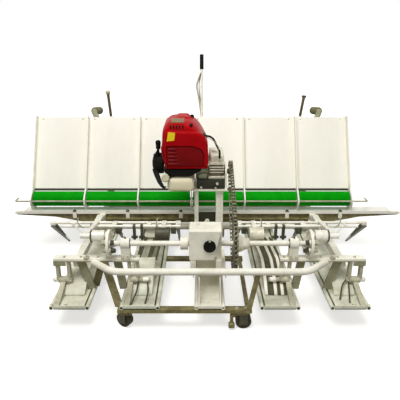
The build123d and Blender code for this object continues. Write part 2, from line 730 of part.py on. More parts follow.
def gearbox():
    """The gearbox housing with its front plug, bored for the shaft, and its two feet."""
    width = span(GEARBOX_X, GEARBOX_SIZE)
    depth = (GEARBOX_Y, GEARBOX_Y + GEARBOX_DEPTH)
    top = GEARBOX_Z + GEARBOX_SIZE
    body = fillet(block(width, depth, (GEARBOX_Z, top)).edges(), GEARBOX_EDGE)
    corner = [
        (width[1] - GEARBOX_CUT_TOP, top),
        (width[1] - GEARBOX_CUT_FOOT, GEARBOX_Z),
        (width[1] + GEARBOX_EDGE, GEARBOX_Z),
        (width[1] + GEARBOX_EDGE, top),
    ]
    wedge = extrude(Plane.XZ * make_face(Polyline(*corner, close=True)), amount=-GEARBOX_CUT_DEPTH)
    body -= Pos(0, GEARBOX_Y, 0) * wedge
    plug_z = GEARBOX_Z + GEARBOX_SIZE / 2
    front = (PLUG_X, GEARBOX_Y - PLUG_PROUD, plug_z)
    body += rod(front, (PLUG_X, GEARBOX_Y + PLUG_SEAT, plug_z), PLUG_R)
    body -= shaft(width, CRANK_Y, CRANK_Z, SHAFT_R + PIN_CLEARANCE)
    feet = [block(span(x, GEARBOX_FOOT), depth, (RAIL_TOP, GEARBOX_Z)) for x in GEARBOX_FEET_X]
    return [body] + feet


def crankshaft():
    """The shaft, its collar, the crank discs and the crank pins."""
    shape = shaft((-DISC_X, DISC_X), CRANK_Y, CRANK_Z, SHAFT_R)
    gearbox_left = GEARBOX_X - GEARBOX_SIZE / 2
    collar = (gearbox_left - 4 - COLLAR_LENGTH, gearbox_left - 4)
    shape += shaft(collar, CRANK_Y, CRANK_Z, COLLAR_R)
    for _, side in SIDES:
        disc = mirrored_span(side, DISC_X, DISC_X + DISC_THICKNESS)
        shape += shaft(disc, CRANK_Y, CRANK_Z, DISC_R)
        for face in (DISC_X, DISC_X + DISC_THICKNESS - DISC_DISH):
            dish = mirrored_span(side, face, face + DISC_DISH)
            shape -= shaft(dish, CRANK_Y, CRANK_Z, DISC_R - DISC_RIM, LUG_CIRCLE_R - LUG_R - 2)
        for angle in LUG_ANGLES:
            y = CRANK_Y + LUG_CIRCLE_R * math.cos(math.radians(angle))
            z = CRANK_Z + LUG_CIRCLE_R * math.sin(math.radians(angle))
            lug = mirrored_span(side, DISC_X - LUG_PROUD, DISC_X + DISC_THICKNESS + LUG_PROUD)
            shape += shaft(lug, y, z, LUG_R)
        pin_end = HOUSING_X + HOUSING_LENGTH / 2 - HOUSING_END_WALL - PIN_CLEARANCE
        pin = mirrored_span(side, DISC_X + DISC_THICKNESS, pin_end)
        shape += shaft(pin, CRANK_Y, PIN_Z, CRANK_PIN_R)
        boss = mirrored_span(side, DISC_X, DISC_X + DISC_THICKNESS + LUG_PROUD)
        shape += shaft(boss, CRANK_Y, PIN_Z, CRANK_PIN_R + 4)
    return shape


def sprocket(teeth, pitch_r, bore, hub_r, hub_length):
    """A toothed disc about X at the origin, with a hub on its +X side."""
    tip = pitch_r + TOOTH_HEIGHT
    root = pitch_r - TOOTH_HEIGHT
    points = []
    for tooth in range(teeth):
        for share, radius in ((-0.3, root), (-0.1, tip), (0.1, tip), (0.3, root)):
            angle = 2 * math.pi * (tooth + share) / teeth
            points.append((radius * math.cos(angle), radius * math.sin(angle)))
    disc = profile(points, 0, SPROCKET_THICKNESS)
    hub = shaft((0, hub_length), 0, 0, hub_r)
    return disc + hub - shaft((-SPROCKET_THICKNESS, hub_length), 0, 0, bore)


def chain_loop(offset, big, small):
    """The face between the drive's two wheels, at one offset from their radii."""
    big += offset
    small += offset
    lean = (big - small) / CHAIN_CENTRES
    rise = math.sqrt(1 - lean ** 2)
    big_touch = (big * lean, big * rise)
    small_touch = (CHAIN_CENTRES + small * lean, small * rise)
    low_big = (big_touch[0], -big_touch[1])
    low_small = (small_touch[0], -small_touch[1])
    edges = [
        Line(big_touch, small_touch),
        ThreePointArc(small_touch, (CHAIN_CENTRES + small, 0), low_small),
        Line(low_small, low_big),
        ThreePointArc(low_big, (-big, 0), big_touch),
    ]
    return make_face(edges)


def chain_place(distance):
    """Place and direction at a distance along the chain's middle line, from the big wheel's top."""
    offset = TOOTH_HEIGHT + CHAIN_GAP + CHAIN_BAND / 2
    big, small = BIG_R + offset, SMALL_R + offset
    lean = math.asin((big - small) / CHAIN_CENTRES)
    run = math.sqrt(CHAIN_CENTRES ** 2 - (big - small) ** 2)
    small_arc = small * (math.pi - 2 * lean)
    if distance < run:
        angle = math.pi / 2 - lean
        share = distance / run
        x = big * math.cos(angle) * (1 - share) + (CHAIN_CENTRES + small * math.cos(angle)) * share
        y = big * math.sin(angle) * (1 - share) + small * math.sin(angle) * share
        return x, y, angle - math.pi / 2
    distance -= run
    if distance < small_arc:
        angle = math.pi / 2 - lean - distance / small
        return CHAIN_CENTRES + small * math.cos(angle), small * math.sin(angle), angle - math.pi / 2
    distance -= small_arc
    if distance < run:
        angle = -math.pi / 2 + lean
        share = distance / run
        x = (CHAIN_CENTRES + small * math.cos(angle)) * (1 - share) + big * math.cos(angle) * share
        y = small * math.sin(angle) * (1 - share) + big * math.sin(angle) * share
        return x, y, angle - math.pi / 2
    angle = -math.pi / 2 + lean - (distance - run) / big
    return big * math.cos(angle), big * math.sin(angle), angle - math.pi / 2


def chain():
    """The chain as one closed band round both sprockets, with a plate for each link."""
    inner = TOOTH_HEIGHT + CHAIN_GAP
    band = chain_loop(inner + CHAIN_BAND, BIG_R, SMALL_R) - chain_loop(inner, BIG_R, SMALL_R)
    towards = Vector(0, math.cos(CHAIN_ANGLE), math.sin(CHAIN_ANGLE))
    place = Plane(origin=(SPROCKET_X, CRANK_Y, CRANK_Z), x_dir=towards, z_dir=(1, 0, 0))
    shape = Pos(0, 0, -CHAIN_WIDTH / 2) * extrude(band, amount=CHAIN_WIDTH)
    offset = inner + CHAIN_BAND / 2
    big, small = BIG_R + offset, SMALL_R + offset
    lean = math.asin((big - small) / CHAIN_CENTRES)
    run = math.sqrt(CHAIN_CENTRES ** 2 - (big - small) ** 2)
    around = 2 * run + small * (math.pi - 2 * lean) + big * (math.pi + 2 * lean)
    step = around / CHAIN_LINKS
    plates = []
    for link in range(0, CHAIN_LINKS, 2):
        x, y, angle = chain_place((link + 0.5) * step)
        plate = Box(step * CHAIN_PLATE_REACH, CHAIN_PLATE, OUTER_LINK_WIDTH)
        plate = Pos(0, CHAIN_PLATE_OUT, 0) * plate
        plates.append(Pos(x, y, 0) * Rot(0, 0, math.degrees(angle)) * plate)
    return place * (shape + plates)


# ---------------------------------------------------------------- planting units
def planting_frame(side):
    """The two bars of a planting unit with its crank housing and its carrier."""
    front_y, rear_y = BAR_FRONT_Y, BAR_FRONT_Y + BAR_PITCH
    shapes = shaft(mirrored_span(side, BAR_INNER_X, FRONT_BAR_OUTER_X), front_y, BAR_Z, BAR_R)
    shapes += shaft(mirrored_span(side, BAR_INNER_X, BAR_OUTER_X), rear_y, BAR_Z, BAR_R)
    housing = span(side * HOUSING_X, HOUSING_LENGTH)
    shapes += shaft(housing, CRANK_Y, PIN_Z, HOUSING_R)
    outer = HOUSING_X + HOUSING_LENGTH / 2
    shapes += shaft(mirrored_span(side, outer, outer + STUB_LENGTH), CRANK_Y, PIN_Z, STUB_R)
    links = [
        (outer + LINK_WIDTH, CRANK_Y, PIN_Z),
        (CARRIER_X, CARRIER_Y, CARRIER_Z),
        (BAR_INNER_X + LINK_WIDTH / 2, front_y, BAR_Z),
    ]
    for x, y, z in links:
        head = (side * x, y, z)
        shapes += flat_bar(head, (side * x, rear_y, BAR_Z), LINK_WIDTH, LINK_HEIGHT)
    for x in CROSS_LINK_X:
        shapes += block(span(side * x, LINK_WIDTH), (front_y, rear_y), span(BAR_Z, 2 * BAR_R))
    shapes += shaft(span(side * CARRIER_X, HOUSING_LENGTH), CARRIER_Y, CARRIER_Z, CARRIER_R)
    for index in range(ROWS // 2):
        x = span(side * abs(row_x(index)), ARM_WIDTH + ARM_CLAMP)
        clamp_z = (BAR_Z - ARM_CLAMP_DEPTH / 2, BAR_Z + BAR_R - ARM_CLAMP_SINK)
        shapes += block(x, span(rear_y, ARM_CLAMP_DEPTH), clamp_z)
    feet = ((CRANK_Y, PIN_Z + STUB_R - WIRE_R), (CARRIER_Y, CARRIER_Z + CARRIER_R - WIRE_R))
    for (head_x, foot_x), (foot_y, foot_z) in zip(WIRES, feet):
        head = (side * head_x, front_y, BAR_Z + BAR_R)
        shapes += rod(head, (side * foot_x, foot_y, foot_z), WIRE_R)
        hook_y = span(front_y, 2 * BAR_R)
        shapes += block(span(side * head_x, 4 * WIRE_R), hook_y, (BAR_Z, BAR_Z + BAR_R + 2 * WIRE_R))
    bore = mirrored_span(side, HOUSING_X - HOUSING_LENGTH / 2, outer - HOUSING_END_WALL)
    return shapes - shaft(bore, CRANK_Y, PIN_Z, CRANK_PIN_R + PIN_CLEARANCE)


def planting_arms(side):
    """The tapered planting arms of one unit, seated under the rear bar's clamps."""
    arms = []
    slope = math.radians(ARM_SLOPE)
    seat_z = BAR_Z - ARM_CLAMP_DEPTH / 2
    for index in range(ROWS // 2):
        x = side * abs(row_x(index))
        along = Vector(0, math.cos(slope), -math.sin(slope))
        head = Vector(x, BAR_FRONT_Y + BAR_PITCH, seat_z)
        place = Plane(origin=head, x_dir=(1, 0, 0), z_dir=along)
        root = place.offset(-ARM_DEPTH / 2) * Rectangle(ARM_WIDTH, ARM_DEPTH)
        tip = place.offset(ARM_LENGTH) * Rectangle(ARM_TIP, ARM_TIP)
        arm = loft([root, tip])
        above = block(span(x, 2 * ARM_WIDTH), span(head.Y, 4 * ARM_DEPTH), (seat_z, seat_z + 2 * ARM_DEPTH))
        arms.append(arm - above)
    return arms


# ---------------------------------------------------------------- guide rail and tray
def guide_rail():
    """The long bar across the frame, with the ledge that the tray slides on."""
    bar_top = RAIL_TOP + GUIDE_THICKNESS
    bar = block((-GUIDE_HALF, GUIDE_HALF), (GUIDE_Y, GUIDE_Y + GUIDE_DEPTH), (RAIL_TOP, bar_top))
    ledge_y = (GUIDE_Y, GUIDE_Y + LEDGE_DEPTH)
    ledge_z = (bar_top, bar_top + LEDGE_THICKNESS)
    return bar + block((-LEDGE_HALF, LEDGE_HALF), ledge_y, ledge_z)


def guide_beam():
    """The deep plate under the guide rail, in lengths between the rails that it crosses."""
    plate_y = GUIDE_Y + GUIDE_BEAM_SETBACK
    right = [(reach, RAIL_TOP - drop) for reach, drop in GUIDE_BEAM_EDGE]
    left = [(-reach, RAIL_TOP - drop) for reach, drop in reversed(GUIDE_BEAM_EDGE)]
    half = GUIDE_BEAM_EDGE[0][0]
    outline = [(-half, RAIL_TOP), (half, RAIL_TOP)] + right + left
    face = Plane.XZ * make_face(Polyline(*outline, close=True))
    plate = Pos(0, plate_y + GUIDE_BEAM, 0) * extrude(face, amount=GUIDE_BEAM)
    flange_z = RAIL_TOP - GUIDE_FLANGE_DROP
    flange_half = GUIDE_BEAM_EDGE[-1][0]
    plate += block(
        (-flange_half, flange_half),
        (plate_y - GUIDE_FLANGE_DEPTH, plate_y),
        (flange_z - GUIDE_FLANGE, flange_z),
    )
    whole_y = span(plate_y, ROW_PITCH)
    for side in (-1, 1):
        plate -= block(span(side * SIDE_RAIL_X, RAIL), whole_y, (0, ANGLE_TOP))
    plate -= block(span(0, SPINE_WIDTH), whole_y, (0, ANGLE_TOP))
    return list(plate.solids())


def gates():
    """The seedling gates under the guide rail's front edge, one for each row."""
    shapes = []
    for index in range(ROWS):
        width = span(row_x(index), GATE_WIDTH)
        shapes.append(block(width, (GUIDE_Y - 3, GUIDE_Y), (RAIL_TOP - 16, RAIL_TOP + GUIDE_THICKNESS)))
    return shapes


def tray_sheet():
    """The tray's sloping sheet."""
    place = Plane(
        origin=(TRAY_X, TRAY_Y, TRAY_Z), x_dir=(1, 0, 0), z_dir=(0, -math.cos(TILT), math.sin(TILT))
    )
    seat = (Align.CENTER, Align.MIN, Align.MAX)
    return place * Box(TRAY_WIDTH, TRAY_LENGTH, TRAY_SHEET, align=seat)


def tray_ribs():
    """The ribs on the sheet, which go down past the rollers and stand on the ledge."""
    ledge_top = RAIL_TOP + GUIDE_THICKNESS + LEDGE_THICKNESS
    foot = ledge_top + CONTACT
    nose = ROD_R * 3 - 1
    outline = [
        on_tray(TRAY_LENGTH, 0),
        on_tray(TRAY_LENGTH, RIB_HEIGHT),
        on_tray(0, RIB_HEIGHT),
        (ROD_Y - nose, ROD_Z + nose),
        (ROD_Y - nose, ROD_Z - nose),
        (GUIDE_Y + 6, foot),
        (GUIDE_Y + LEDGE_DEPTH - 6, foot),
        (ROLLER_Y + ROLLER_R, ROLLER_Z),
        on_tray(0, 0),
    ]
    left = TRAY_X - TRAY_WIDTH / 2 + RIB_THICKNESS / 2
    whole = span(TRAY_X, 2 * TRAY_WIDTH)
    shaft_hole = shaft(whole, ROLLER_Y, ROLLER_Z, ROLLER_SHAFT_R + PIN_CLEARANCE)
    rod_hole = shaft(whole, ROD_Y, ROD_Z, ROD_R)
    ribs = []
    for index in range(ROWS + 1):
        rib = profile(outline, left + index * LANE, RIB_THICKNESS)
        ribs.append(rib - shaft_hole - rod_hole)
    return ribs


def feed_rollers():
    """Six feed rollers on one shaft, one in each lane."""
    shape = shaft(span(TRAY_X, TRAY_WIDTH), ROLLER_Y, ROLLER_Z, ROLLER_SHAFT_R)
    left = TRAY_X - TRAY_WIDTH / 2 + RIB_THICKNESS / 2
    for index in range(ROWS):
        middle = left + (index + 0.5) * LANE
        length = LANE - RIB_THICKNESS - 2 * ROLLER_SIDE_GAP
        shape += shaft(span(middle, length), ROLLER_Y, ROLLER_Z, ROLLER_R)
    return shape


def retaining_rod():
    """The thin rod across the lanes' lower ends, with both ends turned back."""
    half = TRAY_WIDTH / 2 + ROD_OVERHANG
    points = [
        (TRAY_X - half, ROD_Y + ROD_HOOK, ROD_Z),
        (TRAY_X - half, ROD_Y, ROD_Z),
        (TRAY_X + half, ROD_Y, ROD_Z),
        (TRAY_X + half, ROD_Y + ROD_HOOK, ROD_Z),
    ]
    path = FilletPolyline(*points, radius=8)
    return sweep(Plane(origin=path @ 0, z_dir=path % 0) * Circle(ROD_R), path=path)


# ---------------------------------------------------------------- support and handles
def tray_support():
    """The bar behind the tray and the two posts that carry it."""
    bar_y, bar_z = on_tray(SUPPORT_UP, SUPPORT_OUT)
    outer = SIDE_RAIL_X + RAIL / 2
    shapes = [shaft((-outer, outer), bar_y, bar_z, SUPPORT_R)]
    post_y = (bar_y + SUPPORT_R, bar_y + SUPPORT_R + POST_DEPTH)
    for _, side in SIDES:
        shapes.append(block(span(side * SIDE_RAIL_X, RAIL), post_y, (RAIL_TOP, POST_TOP)))
    return shapes


def handle(side):
    """A handle tube from behind the post, up, out and back to the grip."""
    start_y = RAIL_END_Y + HANDLE_R
    points = [
        (side * SIDE_RAIL_X, start_y, RAIL_BOTTOM + RAIL / 2),
        (side * SIDE_RAIL_X, start_y, HANDLE_KNEE_Z),
        (side * GRIP_X, HANDLE_TURN_Y, HANDLE_TURN_Z),
        (side * GRIP_X, GRIP_END_Y, GRIP_END_Z),
    ]
    bends = [HANDLE_KNEE_BEND, HANDLE_TURN_BEND]
    return bent_tube(points, bends, HANDLE_R, HANDLE_R - HANDLE_WALL)


def grip_point(share):
    """A point on a handle's last run, from its turn (0) to its end (1)."""
    y = HANDLE_TURN_Y + share * (GRIP_END_Y - HANDLE_TURN_Y)
    z = HANDLE_TURN_Z + share * (GRIP_END_Z - HANDLE_TURN_Z)
    return y, z


def grip(side):
    """The sleeve on a handle's end."""
    run = math.hypot(GRIP_END_Y - HANDLE_TURN_Y, GRIP_END_Z - HANDLE_TURN_Z)
    start_y, start_z = grip_point(1 - GRIP_LENGTH / run)
    start = (side * GRIP_X, start_y, start_z)
    end = (side * GRIP_X, GRIP_END_Y, GRIP_END_Z)
    return rod(start, end, GRIP_R, HANDLE_R)


def handle_bar_place():
    """The height of the bar between the handles, and how far out it meets their middles."""
    share = (HANDLE_BAR_Y - RAIL_END_Y - HANDLE_R) / (HANDLE_TURN_Y - RAIL_END_Y - HANDLE_R)
    z = HANDLE_KNEE_Z + share * (HANDLE_TURN_Z - HANDLE_KNEE_Z)
    x = SIDE_RAIL_X + share * (GRIP_X - SIDE_RAIL_X)
    return z, x


def handle_bar():
    """The bar between the handles that carries the levers, coped to fit the tubes."""
    z, half = handle_bar_place()
    bar = shaft((-half, half), HANDLE_BAR_Y, z, HANDLE_BAR_R)
    for _, side in SIDES:
        knee = (side * SIDE_RAIL_X, RAIL_END_Y + HANDLE_R, HANDLE_KNEE_Z)
        turn = (side * GRIP_X, HANDLE_TURN_Y, HANDLE_TURN_Z)
        bar -= rod(knee, turn, HANDLE_R)
    return bar


def levers():
    """The two side levers and the centre lever, each with a collar on the bar."""
    z, _ = handle_bar_place()
    shapes = []
    for foot_x, head_x, head_z, back in LEVERS:
        collar = span(foot_x, LEVER_COLLAR_WIDTH)
        lever = rod((foot_x, HANDLE_BAR_Y, z), (head_x, HANDLE_BAR_Y + back, head_z), LEVER_R)
        lever += shaft(collar, HANDLE_BAR_Y, z, HANDLE_BAR_R + LEVER_COLLAR_WALL)
        shapes.append(lever - shaft(collar, HANDLE_BAR_Y, z, HANDLE_BAR_R))
    return shapes


def lever_grip():
    """The black grip that runs on from the centre lever's end."""
    z, _ = handle_bar_place()
    foot_x, head_x, head_z, back = LEVERS[-1]
    low = Vector(foot_x, HANDLE_BAR_Y, z)
    high = Vector(head_x, HANDLE_BAR_Y + back, head_z)
    top = high + (high - low).normalized() * CENTRE_LEVER_GRIP
    return rod(tuple(high), tuple(top), LEVER_R + LEVER_GRIP_WALL)


# ---------------------------------------------------------------- engine
def uprights():
    """The two posts under the engine's plate."""
    depth = (UPRIGHT_Y, UPRIGHT_Y + UPRIGHT_DEPTH)
    height = (RAIL_TOP, ENGINE_PLATE_TOP - ENGINE_PLATE)
    return [block(width, depth, height) for width in (UPRIGHT_LEFT, UPRIGHT_RIGHT)]


def engine_plate():
    """The flat plate that the engine stands on."""
    return block(
        (ENGINE_PLATE_LEFT, ENGINE_PLATE_RIGHT),
        (ENGINE_PLATE_FRONT, ENGINE_PLATE_BACK),
        (ENGINE_PLATE_TOP - ENGINE_PLATE, ENGINE_PLATE_TOP),
    )


def reducer():
    """The reducer's lower box and its finned case, bored for the output shaft."""
    width = (REDUCER_LEFT, REDUCER_LEFT + REDUCER_WIDTH)
    depth = (REDUCER_FRONT, REDUCER_FRONT + REDUCER_DEPTH)
    top = REDUCER_SPLIT + REDUCER_CASE_HEIGHT
    case = block(width, depth, (REDUCER_SPLIT, top))
    case = fillet(case.edges().filter_by(Axis.X), REDUCER_CORNER)
    pitch = REDUCER_WIDTH / (REDUCER_FINS + 1)
    fin_depth = (depth[0] - REDUCER_FIN_PROUD, depth[1] + REDUCER_FIN_PROUD)
    for index in range(REDUCER_FINS):
        fin_x = span(REDUCER_LEFT + (index + 1) * pitch, REDUCER_FIN)
        fin = block(fin_x, fin_depth, (REDUCER_SPLIT + REDUCER_CORNER, top + REDUCER_FIN_PROUD))
        case += fillet(fin.edges().filter_by(Axis.X), REDUCER_CORNER)
    case += block(width, depth, (REDUCER_SPLIT, REDUCER_SPLIT + REDUCER_CORNER))
    box_x = (BOX_LEFT, REDUCER_LEFT + REDUCER_WIDTH)
    case += block(box_x, depth, (ENGINE_PLATE_TOP, REDUCER_SPLIT))
    case += block((BOX_LEFT, REDUCER_LEFT), depth, (REDUCER_SPLIT, COVER_BOTTOM))
    return case - shaft(width, OUTPUT_Y, OUTPUT_Z, SHAFT_R + PIN_CLEARANCE)


def output_bracket():
    """The plate that stands between the reducer and the small sprocket."""
    depth = (REDUCER_FRONT, OUTPUT_Y + BRACKET_REACH)
    shape = block(BRACKET_X, depth, (ENGINE_PLATE_TOP, OUTPUT_Z + BRACKET_REACH))
    corner = shape.edges().filter_by(Axis.X).group_by(Axis.Z)[-1]
    shape = fillet(corner, REDUCER_CORNER)
    return shape - shaft(BRACKET_X, OUTPUT_Y, OUTPUT_Z, SHAFT_R + PIN_CLEARANCE)


def throttle_cable():
    """The black cable from the cover's right side down to the reducer's middle fin."""
    pitch = REDUCER_WIDTH / (REDUCER_FINS + 1)
    end_x = REDUCER_LEFT + 4 * pitch
    start_z = COVER_BOTTOM + CABLE_START_RISE
    end_z = REDUCER_SPLIT + REDUCER_CASE_HEIGHT - CABLE_END_DROP
    route = [
        (CABLE_START_X, CABLE_Y, start_z),
        (CABLE_KNEE_X, CABLE_Y, start_z - CABLE_KNEE_DROP),
        (end_x, CABLE_Y, end_z + CABLE_LAST_RUN),
        (end_x, CABLE_Y, end_z),
        (end_x, REDUCER_FRONT - REDUCER_FIN_PROUD, end_z),
    ]
    path = FilletPolyline(*route, radius=list(CABLE_BENDS))
    section = Plane(origin=path @ 0, z_dir=path % 0) * Circle(CABLE_R)
    return sweep(section, path=path) - engine_cover()


def output_sprocket():
    """The small sprocket with its shaft, which runs in the reducer."""
    wheel = sprocket(SMALL_TEETH, SMALL_R, SHAFT_R, SHAFT_R + 4, 0.5 + SPROCKET_THICKNESS / 2)
    wheel = Pos(SPROCKET_X, OUTPUT_Y, OUTPUT_Z) * wheel
    reach = (REDUCER_LEFT + 6, SPROCKET_X + SPROCKET_THICKNESS / 2 + 3)
    return wheel + shaft(reach, OUTPUT_Y, OUTPUT_Z, SHAFT_R)


def big_sprocket():
    """The large sprocket on the crankshaft, with its hub."""
    wheel = sprocket(BIG_TEETH, BIG_R, SHAFT_R, COLLAR_R, 30)
    return Pos(SPROCKET_X, CRANK_Y, CRANK_Z) * wheel


def engine_block():
    """The crankcase as one dark block under the cover."""
    width = (COVER_LEFT + CRANKCASE_SETBACK, BOX_LEFT)
    depth = (COVER_FRONT + CRANKCASE_SETBACK, COVER_FRONT + COVER_DEPTH - CRANKCASE_SETBACK)
    return block(width, depth, (CRANKCASE_BOTTOM, COVER_BOTTOM))


def engine_cover():
    """The closed cover over the cylinder: upright sides under a rounded, lopsided dome."""
    left, right = COVER_LEFT, REDUCER_LEFT
    top = COVER_BOTTOM + COVER_HEIGHT
    outline = [
        (left + COVER_WIDTH * 0.04, COVER_BOTTOM),
        (left, COVER_BOTTOM + COVER_HEIGHT * 0.2),
        (left + COVER_WIDTH * 0.03, top - COVER_HEIGHT * 0.2),
        (left + COVER_WIDTH * 0.22, top),
        (right - COVER_WIDTH * 0.36, top),
        (right - COVER_WIDTH * 0.12, top - COVER_HEIGHT * 0.2),
        (right, top - COVER_HEIGHT * 0.48),
        (right, COVER_BOTTOM),
    ]
    face = make_face(Polyline(*outline, close=True))
    face = fillet(face.vertices().sort_by(Axis.Y)[2:], COVER_CORNER)
    shape = extrude(Plane.XZ * face, amount=-COVER_DEPTH)
    shape = Pos(0, COVER_FRONT, 0) * shape
    return fillet(shape.faces().filter_by(Axis.Y).edges(), COVER_EDGE)


def fuel_tank():
    """The fuel tank under the crankcase, with its cap."""
    depth = (TANK_FRONT, TANK_FRONT + TANK_DEPTH)
    height = (CRANKCASE_BOTTOM - TANK_HEIGHT, CRANKCASE_BOTTOM)
    shape = block((TANK_LEFT, TANK_RIGHT), depth, height)
    shape = fillet(shape.edges().filter_by(Axis.Y), TANK_CORNER)
    cap_x = TANK_LEFT + CAP_INSET
    cap_z = CRANKCASE_BOTTOM - CAP_DROP
    front = (cap_x, TANK_FRONT - CAP_LENGTH, cap_z)
    return shape + rod(front, (cap_x, TANK_FRONT + CAP_SEAT, cap_z), CAP_R)


def starter():
    """The recoil starter's drum on the engine's left side and its guard leg."""
    left = COVER_LEFT - STARTER_WIDTH
    y = COVER_FRONT + STARTER_BACK
    drum = shaft((left, COVER_LEFT + CRANKCASE_SETBACK), y, COVER_BOTTOM, STARTER_R)
    leg_width, leg_depth = STARTER_LEG
    leg_x = (left + leg_width, left + 2 * leg_width)
    drum += block(leg_x, span(y, leg_depth), (COVER_BOTTOM - STARTER_LEG_DROP, COVER_BOTTOM))
    return drum - engine_cover()


# ---------------------------------------------------------------- all nodes
def build():
    """Every node's name with its shape or its list of shapes."""
    nodes = {
        "stand_beams": stand_beams(),
        "stand_struts": stand_struts(),
        "skid_struts": skid_struts(),
        "front_angles": front_angles(),
        "bumper": bumper(),
        "side_rails": side_rails(),
        "cross_rails": cross_rails(),
        "spine": spine(),
        "centre_walls": centre_walls(),
        "skid_guards": skid_guards(),
        "skid_hinges": skid_hinges(),
        "bearings": bearings(),
        "gearbox": gearbox(),
        "crankshaft": crankshaft(),
        "crank_sprocket": big_sprocket(),
        "output_sprocket": output_sprocket(),
        "chain": chain(),
        "guide_rail": guide_rail(),
        "guide_beam": guide_beam(),
        "gates": gates(),
        "tray_sheet": tray_sheet(),
        "tray_ribs": tray_ribs(),
        "feed_rollers": feed_rollers(),
        "retaining_rod": retaining_rod(),
        "tray_support": tray_support(),
        "handle_bar": handle_bar(),
        "levers": levers(),
        "lever_grip": lever_grip(),
        "uprights": uprights(),
        "engine_plate": engine_plate(),
        "reducer": reducer(),
        "engine_block": engine_block(),
        "engine_cover": engine_cover(),
        "throttle_cable": throttle_cable(),
        "output_bracket": output_bracket(),
        "fuel_tank": fuel_tank(),
        "starter": starter(),
    }
    for index in range(5):
        x = (index - 2) * ROW_PITCH
        width = CENTRE_SKID_WIDTH if index == 2 else SKID_WIDTH
        nodes[f"skid_{index + 1}"] = skid(x, width)
    for name, side in SIDES:
        nodes[f"planting_bars_{name}"] = planting_frame(side)
        nodes[f"planting_arms_{name}"] = planting_arms(side)
        nodes[f"handle_{name}"] = handle(side)
        nodes[f"grip_{name}"] = grip(side)
    for name, x, y, yaw in CASTORS:
        nodes[f"castor_fork_{name}"] = castor_fork(x, y, yaw)
        nodes[f"castor_wheel_{name}"] = castor_wheel(x, y, yaw)
    return nodes


def save(nodes):
    """Write each node's file, moved so that the origin is the middle of the depth."""
    os.makedirs("parts", exist_ok=True)
    for name, shape in nodes.items():
        solids = shape if isinstance(shape, list) else [shape]
        moved = Pos(0, -DEPTH_MIDDLE, 0) * Compound(children=[Part() + item for item in solids])
        export_step(moved, f"parts/{name}.step")


if __name__ == "__main__":
    save(build())
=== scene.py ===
"""Walk-behind rice transplanter: studio, finishes and detailed pieces on the fixed frame."""
import json
import logging
import math
from collections.abc import Sequence
from dataclasses import dataclass
from enum import Enum

import bmesh
import bpy
from mathutils import Matrix, Vector


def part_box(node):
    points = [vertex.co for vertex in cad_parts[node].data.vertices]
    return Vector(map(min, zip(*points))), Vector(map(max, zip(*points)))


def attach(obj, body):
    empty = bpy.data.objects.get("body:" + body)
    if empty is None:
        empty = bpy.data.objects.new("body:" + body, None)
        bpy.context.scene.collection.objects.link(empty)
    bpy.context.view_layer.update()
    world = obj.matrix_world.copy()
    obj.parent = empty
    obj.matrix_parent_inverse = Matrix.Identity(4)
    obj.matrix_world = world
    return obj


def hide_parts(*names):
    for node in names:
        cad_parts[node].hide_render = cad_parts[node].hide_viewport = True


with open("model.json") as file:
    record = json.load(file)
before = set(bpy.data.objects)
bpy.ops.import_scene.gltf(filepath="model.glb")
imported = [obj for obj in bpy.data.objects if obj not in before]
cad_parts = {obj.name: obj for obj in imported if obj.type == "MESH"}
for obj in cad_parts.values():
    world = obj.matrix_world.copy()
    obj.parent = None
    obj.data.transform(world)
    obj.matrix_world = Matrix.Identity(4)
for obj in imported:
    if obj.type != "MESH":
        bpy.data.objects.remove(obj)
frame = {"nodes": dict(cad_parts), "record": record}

LOG = logging.getLogger("transplanter")
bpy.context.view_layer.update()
MM = 0.001
FRONT_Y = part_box("skid_3")[0].y          # the skids' front ends
Piece, Material = bpy.types.Object, bpy.types.Material
Tree, Socket = bpy.types.NodeTree, bpy.types.NodeSocket
Point = tuple[float, float, float]
Flat = tuple[float, float]

# places that several pieces share, in millimetres
CRANK_Y, CRANK_Z = 98.0, 232.0           # the crankshaft's axis
HINGE_Z = 113.0                          # the skid hinges' axis, right under the crankshaft's
ANGLE_TOP = 185.0                        # upper face of the two angle irons
SKID_TOP = 76.0                          # upper face of the skids' sheets
TRAY_FOOT_Y, TRAY_FOOT_Z = 550.0, 243.0  # the foot of the tray's front face
TRAY_TILT = math.radians(27.9)           # how far the tray leans back from upright

# numbered sockets of a colour mix node, whose names repeat
MIX_FIRST, MIX_SECOND, MIX_RESULT = 6, 7, 2


def at(x: float, y: float, z: float) -> Vector:
    """A place in metres.

    Args:
        x: Millimetres to the right of the frame's middle.
        y: Millimetres behind the skids' front ends.
        z: Millimetres above the floor.

    Returns:
        The place in the frame's own coordinates.
    """
    return Vector((x * MM, FRONT_Y + y * MM, z * MM))


def span(centre: float, width: float) -> Flat:
    """The two ends of a width about its middle."""
    return (centre - width / 2, centre + width / 2)


def linear(code: str) -> tuple[float, float, float, float]:
    """Turns an sRGB hex colour to linear light.

    Args:
        code: Six hex digits.

    Returns:
        Red, green, blue and an alpha of 1.
    """
    parts = [int(code[i:i + 2], 16) / 255 for i in (0, 2, 4)]
    flat = [c / 12.92 if c <= 0.04045 else ((c + 0.055) / 1.055) ** 2.4 for c in parts]
    return (flat[0], flat[1], flat[2], 1.0)


def add_node(
    tree: Tree, kind: str, settings: dict | None = None, links: dict | None = None
) -> bpy.types.Node:
    """Adds a shader node with its settings and links.

    Args:
        tree: The material's or world's node tree.
        kind: The node's type name.
        settings: Properties by name, or input values by socket name or number.
        links: Output sockets by the name or number of the input they go to.

    Returns:
        The new node.
    """
    node = tree.nodes.new(kind)
    for key, value in (settings or {}).items():
        if isinstance(key, str) and hasattr(node, key):
            setattr(node, key, value)
        else:
            node.inputs[key].default_value = value
    for key, socket in (links or {}).items():
        tree.links.new(socket, node.inputs[key])
    return node


